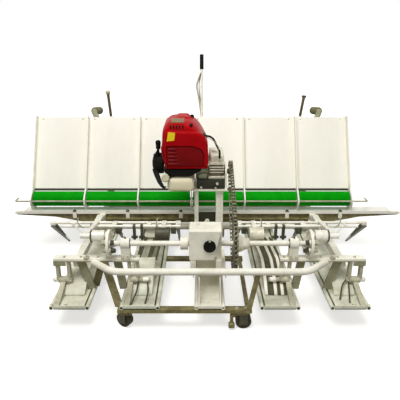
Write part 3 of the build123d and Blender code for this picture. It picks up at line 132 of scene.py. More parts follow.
def new_material(name: str) -> tuple[Material, Tree, Socket]:
    """Starts a node material.

    Args:
        name: The material's name.

    Returns:
        The material, its node tree and the Object coordinates in it.
    """
    material = bpy.data.materials.new(name)
    material.use_nodes = True
    tree = material.node_tree
    tree.nodes.clear()
    return material, tree, add_node(tree, "ShaderNodeTexCoord").outputs["Object"]


def noise(tree: Tree, place: Socket, scale: float, detail: float,
          roughness: float = 0.5) -> Socket:
    """Adds a noise texture.

    Args:
        tree: The material's node tree.
        place: The coordinates that it is laid on.
        scale: Lumps in a metre.
        detail: Finer layers on top of the first.
        roughness: How strong the finer layers are.

    Returns:
        The noise, from 0 to 1.
    """
    settings = {"Scale": scale, "Detail": detail, "Roughness": roughness}
    return add_node(tree, "ShaderNodeTexNoise", settings, {"Vector": place}).outputs[0]


def ranged(tree: Tree, value: Socket, **limits: float) -> Socket:
    """Maps a value between limits, such as to_min, each 0 or 1 when it isn't given."""
    settings = {key.replace("_", " ").title(): limit for key, limit in limits.items()}
    return add_node(tree, "ShaderNodeMapRange", settings, {"Value": value}).outputs[0]


def mixed(tree: Tree, share: Socket, first: str | Socket, second: str | Socket) -> Socket:
    """Mixes two colours.

    Args:
        tree: The material's node tree.
        share: How much of the second shows.
        first: A hex colour, or a socket that gives one.
        second: The same for the other colour.

    Returns:
        The mixed colour.
    """
    node = add_node(tree, "ShaderNodeMix", {"data_type": "RGBA"}, {"Factor": share})
    for socket, colour in ((MIX_FIRST, first), (MIX_SECOND, second)):
        if isinstance(colour, str):
            node.inputs[socket].default_value = linear(colour)
        else:
            tree.links.new(colour, node.inputs[socket])
    return node.outputs[MIX_RESULT]


def surface(tree: Tree, colour: Socket, rough: Socket,
            relief: Socket, height: float, depth_mm: float, settings: dict) -> None:
    """Closes a material with its relief, its shader and its output.

    Args:
        tree: The material's node tree.
        colour: Its colour.
        rough: Its roughness.
        relief: The texture that its relief follows.
        height: How strong the relief is.
        depth_mm: How deep it goes at full strength.
        settings: The shader's other values.
    """
    bump = add_node(tree, "ShaderNodeBump", {"Strength": height, "Distance": depth_mm * MM},
                    {"Height": relief})
    shader = add_node(tree, "ShaderNodeBsdfPrincipled", settings,
                      {"Base Color": colour, "Roughness": rough, "Normal": bump.outputs[0]})
    add_node(tree, "ShaderNodeOutputMaterial", {}, {"Surface": shader.outputs[0]})


def seen_directly(tree: Tree) -> Socket:
    """Tells the rays that the eye follows, straight or through a surface, from the other ones.

    Args:
        tree: The material's or world's node tree.

    Returns:
        1 for a camera, glossy or transmission ray, else 0.
    """
    path = add_node(tree, "ShaderNodeLightPath").outputs
    seen = path["Is Camera Ray"]
    for other in ("Is Glossy Ray", "Is Transmission Ray"):
        seen = add_node(tree, "ShaderNodeMath", {"operation": "MAXIMUM"},
                        {0: seen, 1: path[other]}).outputs[0]
    return seen


# ---------------------------------------------------------------- finishes
@dataclass(frozen=True)
class Coating:
    """Paint or powder coat on steel: two close tones, soil in patches and a fine peel."""

    name: str
    colour: str
    shade: str
    soil: str
    soil_share: float = 0.25      # how much of the surface the soil patches take
    soil_depth: float = 0.5       # how strongly a patch covers the paint
    patch_mm: float = 60.0
    peel_mm: float = 1.6          # coarser than a real peel, so that it shows
    peel_height: float = 0.06
    roughness: float = 0.42
    stretch: Point = (1.0, 1.0, 1.0)

    def build(self) -> Material:
        """Makes the material.

        Returns:
            The new material.
        """
        material, tree, place = new_material(self.name)
        place = add_node(tree, "ShaderNodeMapping", {"Scale": self.stretch},
                         {"Vector": place}).outputs[0]
        cloud = noise(tree, place, 1 / (self.patch_mm * MM), 5.0, 0.6)
        fine = noise(tree, place, 6 / (self.patch_mm * MM), 6.0, 0.7)
        # soil lies where both noises are high; its edge moves with the share it takes
        edge = 0.5 + 0.22 * (1 - 2 * self.soil_share)
        mottle = add_node(tree, "ShaderNodeMath", {"operation": "MULTIPLY_ADD", 1: 0.35, 2: 0.32},
                          {0: fine})
        both = add_node(tree, "ShaderNodeMath", {"operation": "MULTIPLY_ADD", 1: 0.65},
                        {0: cloud, 2: mottle.outputs[0]})
        dirt = ranged(tree, both.outputs[0], from_min=edge + 0.1, from_max=edge + 0.34,
                      to_max=self.soil_depth)
        paint = mixed(tree, dirt, mixed(tree, cloud, self.colour, self.shade), self.soil)
        rough = ranged(tree, fine, to_min=self.roughness - 0.08, to_max=self.roughness + 0.2)
        peel = noise(tree, place, 1 / (self.peel_mm * MM), 2.0)
        surface(tree, paint, rough, peel, self.peel_height, 0.4,
                {"IOR": 1.5, "Specular IOR Level": 0.3})
        return material


@dataclass(frozen=True)
class Metal:
    """Bare or plated metal: grain drawn out along the tool's path, duller in patches."""

    name: str
    colour: str
    tint: str
    roughness: float = 0.35
    patch_mm: float = 30.0
    grain_mm: float = 1.2
    grain_height: float = 0.1
    stretch: Point = (1.0, 1.0, 1.0)
    metallic: float = 1.0

    def build(self) -> Material:
        """Makes the material.

        Returns:
            The new material.
        """
        material, tree, place = new_material(self.name)
        drawn = add_node(tree, "ShaderNodeMapping", {"Scale": self.stretch},
                         {"Vector": place}).outputs[0]
        cloud = noise(tree, place, 1 / (self.patch_mm * MM), 6.0, 0.65)
        tone = mixed(tree, ranged(tree, cloud, from_min=0.42, from_max=0.68), self.colour,
                     self.tint)
        rough = ranged(tree, cloud, to_min=self.roughness - 0.08, to_max=self.roughness + 0.18)
        grain = noise(tree, drawn, 1 / (self.grain_mm * MM), 3.0)
        surface(tree, tone, rough, grain, self.grain_height, 0.3, {"Metallic": self.metallic})
        return material


@dataclass(frozen=True)
class Moulding:
    """Moulded plastic or rubber: an even colour with a faint drift and the mould's grain."""

    name: str
    colour: str
    shade: str
    roughness: float = 0.35
    patch_mm: float = 40.0
    grain_mm: float = 0.9
    grain_height: float = 0.08
    ior: float = 1.5
    shine: float = 0.3            # specular level; plain plastic in a white room needs little
    coat: float = 0.0
    scatter: float = 0.0          # how much light goes through the wall
    scatter_mm: float = 6.0

    def build(self) -> Material:
        """Makes the material.

        Returns:
            The new material.
        """
        material, tree, place = new_material(self.name)
        cloud = noise(tree, place, 1 / (self.patch_mm * MM), 4.0)
        rough = ranged(tree, cloud, to_min=self.roughness - 0.06, to_max=self.roughness + 0.12)
        grain = noise(tree, place, 1 / (self.grain_mm * MM), 2.0)
        settings = {"IOR": self.ior, "Specular IOR Level": self.shine, "Coat Weight": self.coat,
                    "Coat Roughness": 0.08, "Subsurface Weight": self.scatter,
                    "Subsurface Scale": self.scatter_mm * MM}
        surface(tree, mixed(tree, cloud, self.colour, self.shade), rough, grain, self.grain_height,
                0.2, settings)
        return material


class Finish(Enum):
    """Every finish on the machine, each built once when it is first asked for."""

    # powder-coated mild steel: even cream-white, slightly wavy, grey where hands and mud reach
    WHITE = Coating("powder_coated_mild_steel", "F9F6E6", "F0ECDA", "ABA68C", 0.1, 0.35)
    # stoved enamel on rolled sheet: smoother and creamier, with a faint haze down the slope
    CREAM = Coating("stoved_enamel_on_rolled_sheet", "FBF8EC", "F8F4E7", "E2DCC8", 0.1, 0.28,
                    patch_mm=140.0, peel_height=0.03, roughness=0.38, stretch=(1.0, 0.35, 0.35))
    # brushed-on oil paint over hot-rolled angle: dark olive, rubbed and rusty
    OLIVE = Coating("brushed_oil_paint_on_hot_rolled_steel", "A09968", "7F784E", "4A3A20",
                    0.34, 0.7, patch_mm=28.0, peel_mm=2.4, peel_height=0.2, roughness=0.5)
    # bright-drawn, zinc-plated bar: pale, with a soft sheen along its length
    BAR = Metal("zinc_plated_drawn_steel_bar", "ECE9DC", "CFCBB9", 0.38, stretch=(0.05, 1.0, 1.0),
                metallic=0.2)
    # drop-forged steel, oil-blacked: dark olive grey with a dull edge; on the left carrier sleeve,
    # painted shade
    FORGED = Coating("forged_steel_and_painted_shade", "5A583F", "45432E", "211F12", 0.34, 0.6,
                     patch_mm=16.0, peel_mm=1.6, peel_height=0.25, roughness=0.38)
    # die-cast aluminium, as cast: light grey, matt, with a fine sandy skin
    CAST = Metal("die_cast_aluminium", "DAD6C2", "A9A48C", 0.42, grain_mm=1.0, grain_height=0.3,
                 metallic=0.35)
    # turned steel: brighter, rings too fine to see
    TURNED = Metal("turned_mild_steel", "D6D5CC", "A6A498", 0.28, grain_mm=0.8)
    # injection-moulded gloss ABS: deep glossy red
    RED = Moulding("gloss_abs_red", "B80B13", "9C070E", 0.34, ior=1.25, shine=0.06, coat=0.02,
                   grain_height=0.02)
    # the same ABS, moulded matt on the louvred lower panel; also painted shade on the shell's
    # forward faces round the shield
    MAROON = Moulding("satin_dark_red_and_painted_shade", "860408", "640206", 0.4, shine=0.1, grain_height=0.03)
    # glass-filled nylon: black, slightly rough; also painted shade behind the cover's slots and at
    # its small hole
    BLACK = Moulding("black_nylon_and_painted_shade", "0A0A06", "12110A", 0.55, shine=0.08,
                     grain_height=0.15)
    # blow-moulded natural polyethylene: milky, lets some light in
    TANK = Moulding("blow_moulded_natural_polyethylene", "E6DEC0", "D8CFAC", 0.4, scatter=0.2)
    # extruded PVC tube: saturated green, satin
    GREEN = Moulding("extruded_green_pvc", "04A80B", "03800A", 0.4, shine=0.03, grain_height=0.03)
    # dipped PVC sleeve: mid grey, matt
    GRIP = Moulding("dipped_pvc_sleeve_grey", "8B8766", "757152", 0.65, shine=0.12, grain_mm=1.4,
                    grain_height=0.25)
    # solid rubber tyre: near black, matt with dust
    RUBBER = Coating("moulded_solid_rubber", "231D11", "30291A", "4F4528", 0.3, 0.6, patch_mm=14.0,
                     peel_mm=1.2, peel_height=0.3, roughness=0.65)
    # chrome-plated rod: bright, smooth
    CHROME = Metal("chrome_plated_rod", "E4E0D0", "CFCBBA", 0.22, stretch=(0.05, 1.0, 1.0),
                   metallic=0.7)
    # oiled roller chain: dark brown steel with rubbed bright rollers
    CHAIN = Metal("oiled_carbon_steel_chain", "6F6C58", "34321F", 0.4, patch_mm=5.0,
                  grain_height=0.2)
    # zinc-plated fastener: bright grey with a faint yellow cast
    ZINC = Metal("zinc_plated_fastener", "C9C5B0", "8E8A74", 0.34, patch_mm=6.0)
    # etched brass plate: brown gold, dull
    BRASS = Metal("etched_brass_plate", "7E5A2A", "573B18", 0.45, patch_mm=9.0, metallic=0.15)
    # printed vinyl: flat yellow, blank
    STICKER = Moulding("printed_vinyl_yellow", "F8DE28", "ECCF1E", 0.45, shine=0.1,
                       grain_height=0.02)
    # moulded polypropylene cap: milky grey
    CAP = Moulding("moulded_polypropylene_natural", "C9C2A4", "B4AD8E", 0.45)
    # oily rubber and steel: dark olive; also painted shade in the skids' open ends and under their
    # lips, and along the tray's lower edge
    DARK = Moulding("dark_rubber_and_painted_shade", "26250F", "34331C", 0.5, grain_height=0.2)
    # bare steel in a seam, oiled and muddy: dark olive brown; also painted shade at the skids'
    # seams, beside the tray's ribs and between the curved strips
    SEAM = Coating("muddy_steel_and_painted_shade", "625E42", "4C4930", "2A2616", 0.3, 0.6, patch_mm=20.0,
                   peel_height=0.25, roughness=0.6)
    # thin olive-grey brushed paint; on the angle irons' lips it is painted shade
    OLIVE_GREY = Coating("brushed_paint_and_painted_shade", "A8A688", "8F8D6E", "5E5A3A", 0.22, 0.45,
                         patch_mm=24.0, peel_height=0.15, roughness=0.55)
    # turned steel gone beige with dried mud
    BEIGE = Coating("mud_stained_turned_steel", "CDC9B2", "B9B59B", "77724F", 0.24, 0.5,
                    patch_mm=16.0, roughness=0.45)
    # rolled sheet under worn paint: pale green-grey, with brown mud stains
    SHEET = Coating("worn_paint_on_rolled_sheet_steel", "E9EAD7", "DBDBC5", "9A9068", 0.2, 0.5,
                    patch_mm=45.0, roughness=0.5)
    # brushed dark paint on a lever: olive brown, rubbed thin
    LEVER = Coating("rubbed_dark_paint_on_drawn_bar", "4A4022", "353018", "6E6440", 0.3, 0.5,
                    patch_mm=12.0, roughness=0.5)
    # sand-cast aluminium, darkened as painted shade between the fins
    CASE_DARK = Metal("sand_cast_aluminium_painted_shade", "6C6A54", "4A4834", 0.55, grain_height=0.3,
                      metallic=0.1)
    # sand-cast aluminium with an old green-grey wash
    CASE_GREEN = Metal("washed_sand_cast_aluminium", "B9BB9E", "94967A", 0.55, grain_height=0.3,
                       metallic=0.05)
    # painted grey iron: near black with worn corners
    IRON = Coating("painted_grey_cast_iron", "2B2A1C", "3A3926", "15140B", 0.35, 0.6, patch_mm=18.0,
                   peel_height=0.2, roughness=0.48)

    def material(self) -> Material:
        """The finish's material, built on first use."""
        return bpy.data.materials.get(self.value.name) or self.value.build()


# the finish of each of the record's material slots
SLOT_FINISH = {
    "white_paint": Finish.WHITE, "cream_panel": Finish.CREAM, "olive_paint": Finish.OLIVE,
    "machined_steel": Finish.BAR, "dark_steel": Finish.FORGED, "silver_case": Finish.CAST,
    "red_cover": Finish.RED, "black_plastic": Finish.BLACK, "natural_tank": Finish.TANK,
    "green_roller": Finish.GREEN, "grey_grip": Finish.GRIP, "castor_rubber": Finish.RUBBER,
    "bright_rod": Finish.CHROME,
}

# nodes whose finish isn't their slot's
NODE_FINISH = {
    "skid_1": Finish.SHEET, "skid_2": Finish.SHEET, "skid_4": Finish.SHEET, "skid_5": Finish.SHEET,
    "chain": Finish.CHAIN, "skid_hinges": Finish.BEIGE, "handle_left": Finish.OLIVE_GREY,
    "handle_right": Finish.OLIVE_GREY, "retaining_rod": Finish.BEIGE, "handle_bar": Finish.BEIGE,
    "skid_struts": Finish.OLIVE_GREY, "guide_rail": Finish.CREAM, "gates": Finish.CREAM,
}


# ---------------------------------------------------------------- studio
@dataclass
class Studio:
    """Camera, pale floor, white surround and three soft lamps."""

    camera_place: Point = (-28.0, -1167.0, 827.0)
    camera_pitch: float = 20.0            # degrees below the horizontal
    focal_units: float = 477.0            # focal length, where the frame is frame_units wide
    frame_units: float = 400.0
    sensor_mm: float = 36.0
    floor_half: float = 30.0              # metres
    # watts, metres across and place of each lamp, and the place that all of them face
    key: tuple[float, float, Point] = (101.0, 1.8, (-500.0, -1000.0, 3400.0))
    fill: tuple[float, float, Point] = (16.0, 2.4, (1900.0, -2600.0, 1500.0))
    rim: tuple[float, float, Point] = (12.0, 2.2, (600.0, 2600.0, 2700.0))
    aim: Point = (0.0, 350.0, 250.0)
    ambient: float = 0.24                 # the surround's strength as a light
    paper: str = "D8D6CE"                 # the floor's colour to the eye
    paper_as_light: str = "807E76"        # and to rays that only light
    glow_reach: Flat = (0.9, 2.2)         # metres from the middle over which its glow grows
    glow_near: float = 0.62               # the floor's glow under the machine; 1 further out

    def set_camera(self) -> None:
        """Places the camera in front of the skids, above the tray's top edge."""
        data = bpy.data.cameras.new("camera")
        data.sensor_width = self.sensor_mm
        data.lens = self.focal_units * self.sensor_mm / self.frame_units
        data.clip_start, data.clip_end = 0.01, 100.0
        camera = bpy.data.objects.new("camera", data)
        bpy.context.scene.collection.objects.link(camera)
        camera.location = at(*self.camera_place)
        camera.rotation_euler = (math.radians(90 - self.camera_pitch), 0, 0)
        bpy.context.scene.camera = camera

    def lay_floor(self) -> None:
        """Lays the pale floor, which shows white and keeps a soft shadow."""
        bpy.ops.object.select_all(action="DESELECT")
        below = -0.5 * MM                 # just clear of the wheels
        bpy.ops.mesh.primitive_plane_add(size=2 * self.floor_half, location=(0, 0, below))
        floor = bpy.context.active_object
        floor.name = "studio_floor"
        material, tree, place = new_material("matt_paper_floor")
        paper = add_node(tree, "ShaderNodeBsdfDiffuse", {"Color": linear(self.paper)})
        dull = add_node(tree, "ShaderNodeBsdfDiffuse", {"Color": linear(self.paper_as_light)})
        reach = add_node(tree, "ShaderNodeVectorMath", {"operation": "LENGTH"},
                         {0: place}).outputs["Value"]
        near, far = self.glow_reach
        level = ranged(tree, reach, from_min=near, from_max=far, to_min=self.glow_near, to_max=1.0)
        glow = add_node(tree, "ShaderNodeEmission", {"Color": (1, 1, 1, 1)}, {"Strength": level})
        shown = add_node(tree, "ShaderNodeAddShader", {}, {0: paper.outputs[0], 1: glow.outputs[0]})
        mix = add_node(tree, "ShaderNodeMixShader", {},
                       {0: seen_directly(tree), 1: dull.outputs[0], 2: shown.outputs[0]})
        add_node(tree, "ShaderNodeOutputMaterial", {}, {"Surface": mix.outputs[0]})
        floor.data.materials.append(material)

    def surround(self) -> None:
        """Makes the world white to the eye and a level grey as a light."""
        world = bpy.data.worlds.new("studio_world")
        world.use_nodes = True
        tree = world.node_tree
        tree.nodes.clear()
        level = ranged(tree, seen_directly(tree), to_min=self.ambient, to_max=1.0)
        back = add_node(tree, "ShaderNodeBackground", {"Color": (1, 1, 1, 1)}, {"Strength": level})
        add_node(tree, "ShaderNodeOutputWorld", {}, {"Surface": back.outputs[0]})
        bpy.context.scene.world = world

    def hang_lamps(self) -> None:
        """Hangs the key, fill and rim lamps, all aimed at one place low in the machine."""
        aim = at(*self.aim)
        for name, (power, size, place) in (("key", self.key), ("fill", self.fill),
                                           ("rim", self.rim)):
            data = bpy.data.lights.new(f"lamp_{name}", "AREA")
            data.energy, data.size = power, size
            lamp = bpy.data.objects.new(f"lamp_{name}", data)
            bpy.context.scene.collection.objects.link(lamp)
            lamp.location = at(*place)
            lamp.rotation_euler = (aim - lamp.location).to_track_quat("-Z", "Y").to_euler()

    def build(self) -> None:
        """Sets up the whole studio."""
        bpy.context.scene.view_settings.view_transform = "Standard"
        self.set_camera()
        self.lay_floor()
        self.surround()
        self.hang_lamps()


# ---------------------------------------------------------------- modelling
def only(piece: Piece | None = None) -> None:
    """Deselects everything, then selects one object and makes it active."""
    bpy.ops.object.select_all(action="DESELECT")
    if piece is not None:
        piece.select_set(True)
        bpy.context.view_layer.objects.active = piece


def circle(
    centre: Point, along: Point, radius: float, sides: int = 24, phase: float = 0.0
) -> list[Point]:
    """Places points on a circle.

    Args:
        centre: The circle's middle, in millimetres.
        along: The direction that the circle faces.
        radius: Its radius in millimetres.
        sides: The number of points.
        phase: How far the first point is turned, in degrees.

    Returns:
        The points in order.
    """
    facing = Vector(along).normalized()
    up = Vector((0, 0, 1)) if abs(facing.z) < 0.9 else Vector((0, 1, 0))
    across = facing.cross(up).normalized()
    up = across.cross(facing)
    middle = Vector(centre)
    turns = [math.radians(phase + 360 * step / sides) for step in range(sides)]
    return [tuple(middle + radius * (across * math.cos(a) + up * math.sin(a))) for a in turns]


def eased(start: Vector, corner: Vector, end: Vector, share: float) -> Vector:
    """A place on the curve that eases a corner, from its start (0) to its end (1)."""
    return start * (1 - share) ** 2 + corner * 2 * share * (1 - share) + end * share ** 2


def rounded_outline(corners: Sequence[tuple], steps: int = 4) -> list[Flat]:
    """Rounds a flat outline's corners.

    Args:
        corners: Each corner's two coordinates and its radius.
        steps: Points that each corner is given.

    Returns:
        The outline's points, as many for each corner.
    """
    points = []
    for index, (x, y, radius) in enumerate(corners):
        here = Vector((x, y))
        before = Vector(corners[index - 1][:2]) - here
        after = Vector(corners[(index + 1) % len(corners)][:2]) - here
        reach = min(radius, before.length * 0.48, after.length * 0.48)
        start, end = here + before.normalized() * reach, here + after.normalized() * reach
        points += [tuple(eased(start, here, end, step / (steps - 1))) for step in range(steps)]
    return points


def loft(name: str, rings: Sequence[Sequence[Point]]) -> Piece:
    """Shapes a closed form from a disc, extruded from ring to ring.

    Args:
        name: The piece's name.
        rings: Outlines in millimetres, each with the same number of points.

    Returns:
        The new piece.
    """
    only()
    bpy.ops.mesh.primitive_circle_add(vertices=len(rings[0]), fill_type="NGON")
    piece = bpy.context.active_object
    piece.name = piece.data.name = name
    bpy.ops.object.mode_set(mode="EDIT")
    for index, ring in enumerate(rings):
        if index:
            bpy.ops.mesh.extrude_region()
        mesh = bmesh.from_edit_mesh(piece.data)
        face = next(face for face in mesh.faces if face.select)
        for vertex, place in zip(face.verts, ring):
            vertex.co = at(*place)
    bpy.ops.mesh.select_all(action="SELECT")
    bpy.ops.mesh.normals_make_consistent(inside=False)
    bpy.ops.object.mode_set(mode="OBJECT")
    return piece


def turned(
    name: str, start: Point, along: Point, profile: Sequence[Flat],
    sides: int = 24, phase: float = 0.0,
) -> Piece:
    """Shapes a round form from its profile.

    Args:
        name: The piece's name.
        start: Where its axis starts, in millimetres.
        along: Its axis.
        profile: Distances along the axis, each with a radius.
        sides: Faces round it.
        phase: How far the first face is turned, in degrees.

    Returns:
        The new piece.
    """
    axis = Vector(along).normalized()
    first = Vector(start)
    return loft(name, [circle(first + axis * d, axis, r, sides, phase) for d, r in profile])


def flat(axis: str, outline: Sequence[Flat], depth: float) -> list[Point]:
    """Stands a flat outline at one depth along an axis, its points by the other two axes.

    Args:
        axis: The axis that the outline faces.
        outline: Its points along the other two axes, in their order.
        depth: Its place along the axis.

    Returns:
        The points in millimetres.
    """
    if axis == "x":
        return [(depth, a, b) for a, b in outline]
    if axis == "y":
        return [(a, depth, b) for a, b in outline]
    return [(a, b, depth) for a, b in outline]


def plate(
    name: str, axis: str, outline: Sequence[Flat], low: float, high: float
) -> Piece:
    """Shapes a plate from its outline and its two faces' places along an axis."""
    return loft(name, [flat(axis, outline, low), flat(axis, outline, high)])


def inset(outline: Sequence[Flat], amount: float) -> list[Flat]:
    """Draws an outline's points in towards its middle, by the same amount on each side.

    Args:
        outline: The outline's points.
        amount: How far it is drawn in, or out when below 0.

    Returns:
        The new points.
    """
    xs, ys = [p[0] for p in outline], [p[1] for p in outline]
    middle = ((min(xs) + max(xs)) / 2, (min(ys) + max(ys)) / 2)
    half = ((max(xs) - min(xs)) / 2, (max(ys) - min(ys)) / 2)
    shares = (1 - amount / half[0], 1 - amount / half[1])
    return [(middle[0] + (x - middle[0]) * shares[0], middle[1] + (y - middle[1]) * shares[1])
            for x, y in outline]


def stepped(
    name: str, axis: str, outline: Sequence[Flat], steps: Sequence[Flat]
) -> Piece:
    """Lofts one outline along an axis, drawn in by its own amount at each depth."""
    return loft(name, [flat(axis, inset(outline, draw), depth) for depth, draw in steps])


def tube(
    name: str, points: Sequence[Point], radius: float | Sequence[float], sides: int = 10,
    bend: float = 0.0,
) -> Piece:
    """Shapes a rod along straight runs with eased corners.

    Args:
        name: The piece's name.
        points: The runs' ends, in millimetres.
        radius: The rod's radius, or one for each point when the corners aren't eased.
        sides: Faces round it.
        bend: How far from a corner its easing starts.

    Returns:
        The new piece.
    """
    ends = [Vector(point) for point in points]
    path = [ends[0]]
    for before, here, after in zip(ends, ends[1:], ends[2:]):
        if not bend:
            path.append(here)
            continue
        start = here + (before - here).normalized() * min(bend, (before - here).length * 0.48)
        end = here + (after - here).normalized() * min(bend, (after - here).length * 0.48)
        path += [eased(start, here, end, step / 5) for step in range(6)]
    path.append(ends[-1])
    radii = [radius] * len(path) if isinstance(radius, (int, float)) else list(radius)
    rings, across = [], None
    for index, place in enumerate(path):
        ahead = path[min(index + 1, len(path) - 1)] - place
        behind = place - path[max(index - 1, 0)]
        facing = (ahead.normalized() + behind.normalized()).normalized()
        if across is None:
            across = facing.orthogonal()
        across = (across - facing * across.dot(facing)).normalized()
        up = facing.cross(across)
        turns = [2 * math.pi * step / sides for step in range(sides)]
        rings.append([tuple(place + radii[index] * (across * math.cos(a) + up * math.sin(a)))
                      for a in turns])
    return loft(name, rings)


def modify(piece: Piece, kind: str, **settings: object) -> Piece:
    """Gives a piece a modifier and applies it.

    Args:
        piece: The piece.
        kind: The modifier's type.
        **settings: The modifier's settings.

    Returns:
        The same piece.
    """
    only(piece)
    modifier = piece.modifiers.new(kind.lower(), kind)
    for key, value in settings.items():
        setattr(modifier, key, value)
    bpy.ops.object.modifier_apply(modifier=modifier.name)
    return piece


def soften(piece: Piece, edge: float = 0.0, steps: int = 2,
           angle: float = 35.0) -> Piece:
    """Rounds a piece's sharp edges and shades it smooth between what is left sharp.

    Args:
        piece: The piece.
        edge: Width of the rounding in millimetres.
        steps: Faces across the rounding.
        angle: Edges under this many degrees count as one surface.

    Returns:
        The same piece.
    """
    if edge:
        modify(piece, "BEVEL", width=edge * MM, segments=steps, limit_method="ANGLE",
               angle_limit=math.radians(angle))
    only(piece)
    bpy.ops.object.shade_smooth_by_angle(angle=math.radians(angle))
    return piece


def block(
    name: str, x: Flat, y: Flat, z: Flat,
    edge: float = 1.0, steps: int = 2,
) -> Piece:
    """Shapes a block with rounded edges.

    Args:
        name: The piece's name.
        x: Its two X values in millimetres.
        y: Its two Y values.
        z: Its two Z values.
        edge: Width of the edges' rounding.
        steps: Faces across the rounding.

    Returns:
        The new piece.
    """
    only()
    middle = at(sum(x) / 2, sum(y) / 2, sum(z) / 2)
    bpy.ops.mesh.primitive_cube_add(size=1, location=middle)
    piece = bpy.context.active_object
    piece.name = piece.data.name = name
    piece.scale = [abs(high - low) * MM for low, high in (x, y, z)]
    bpy.ops.object.transform_apply(location=True, rotation=True, scale=True)
    return soften(piece, edge, steps)


def cut(piece: Piece, *cutters: Piece) -> Piece:
    """Cuts shapes out of a piece and removes the cutters.

    Args:
        piece: The piece.
        *cutters: The shapes, which are gone afterwards.

    Returns:
        The same piece.
    """
    for cutter in cutters:
        modify(piece, "BOOLEAN", object=cutter, operation="DIFFERENCE", solver="EXACT")
        bpy.data.objects.remove(cutter)
    return piece


def joined(name: str, parts: Sequence[Piece]) -> Piece:
    """Joins several objects into one piece.

    Args:
        name: The piece's name.
        parts: The objects; the first one stays.

    Returns:
        The joined piece.
    """
    only(parts[0])
    for part in parts[1:]:
        part.select_set(True)
    if len(parts) > 1:
        bpy.ops.object.join()
    parts[0].name = parts[0].data.name = name
    return parts[0]


def copied(piece: Piece, move: Matrix) -> Piece:
    """Copies a piece with a mesh of its own, moved by a matrix in metres.

    Args:
        piece: The piece.
        move: How the copy's mesh is moved.

    Returns:
        The copy.
    """
    twin = piece.copy()
    twin.data = piece.data.copy()
    bpy.context.scene.collection.objects.link(twin)
    twin.data.transform(move)
    return twin


def dress(
    piece: Piece, finish: "Finish", body: str, slot: str, *nodes: str
) -> Piece:
    """Gives a finished piece its finish and its body.

    Args:
        piece: The piece.
        finish: What it is made of.
        body: The body that it moves with.
        slot: The record's material slot that it takes its finish from. Not used.
        *nodes: The CAD nodes that it stands for.

    Returns:
        The same piece.
    """
    if not piece.data.materials:
        piece.data.materials.append(finish.material())
    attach(piece, body)
    if nodes:
        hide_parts(*nodes)
    LOG.info("%s in %s", piece.name, finish.value.name)
    return piece


def dress_all(body: str, *rows: tuple) -> None:
    """Dresses one body's pieces; a row is a piece, its finish, its slot and its CAD nodes."""
    for piece, finish, slot, *nodes in rows:
        dress(piece, finish, body, slot, *nodes)


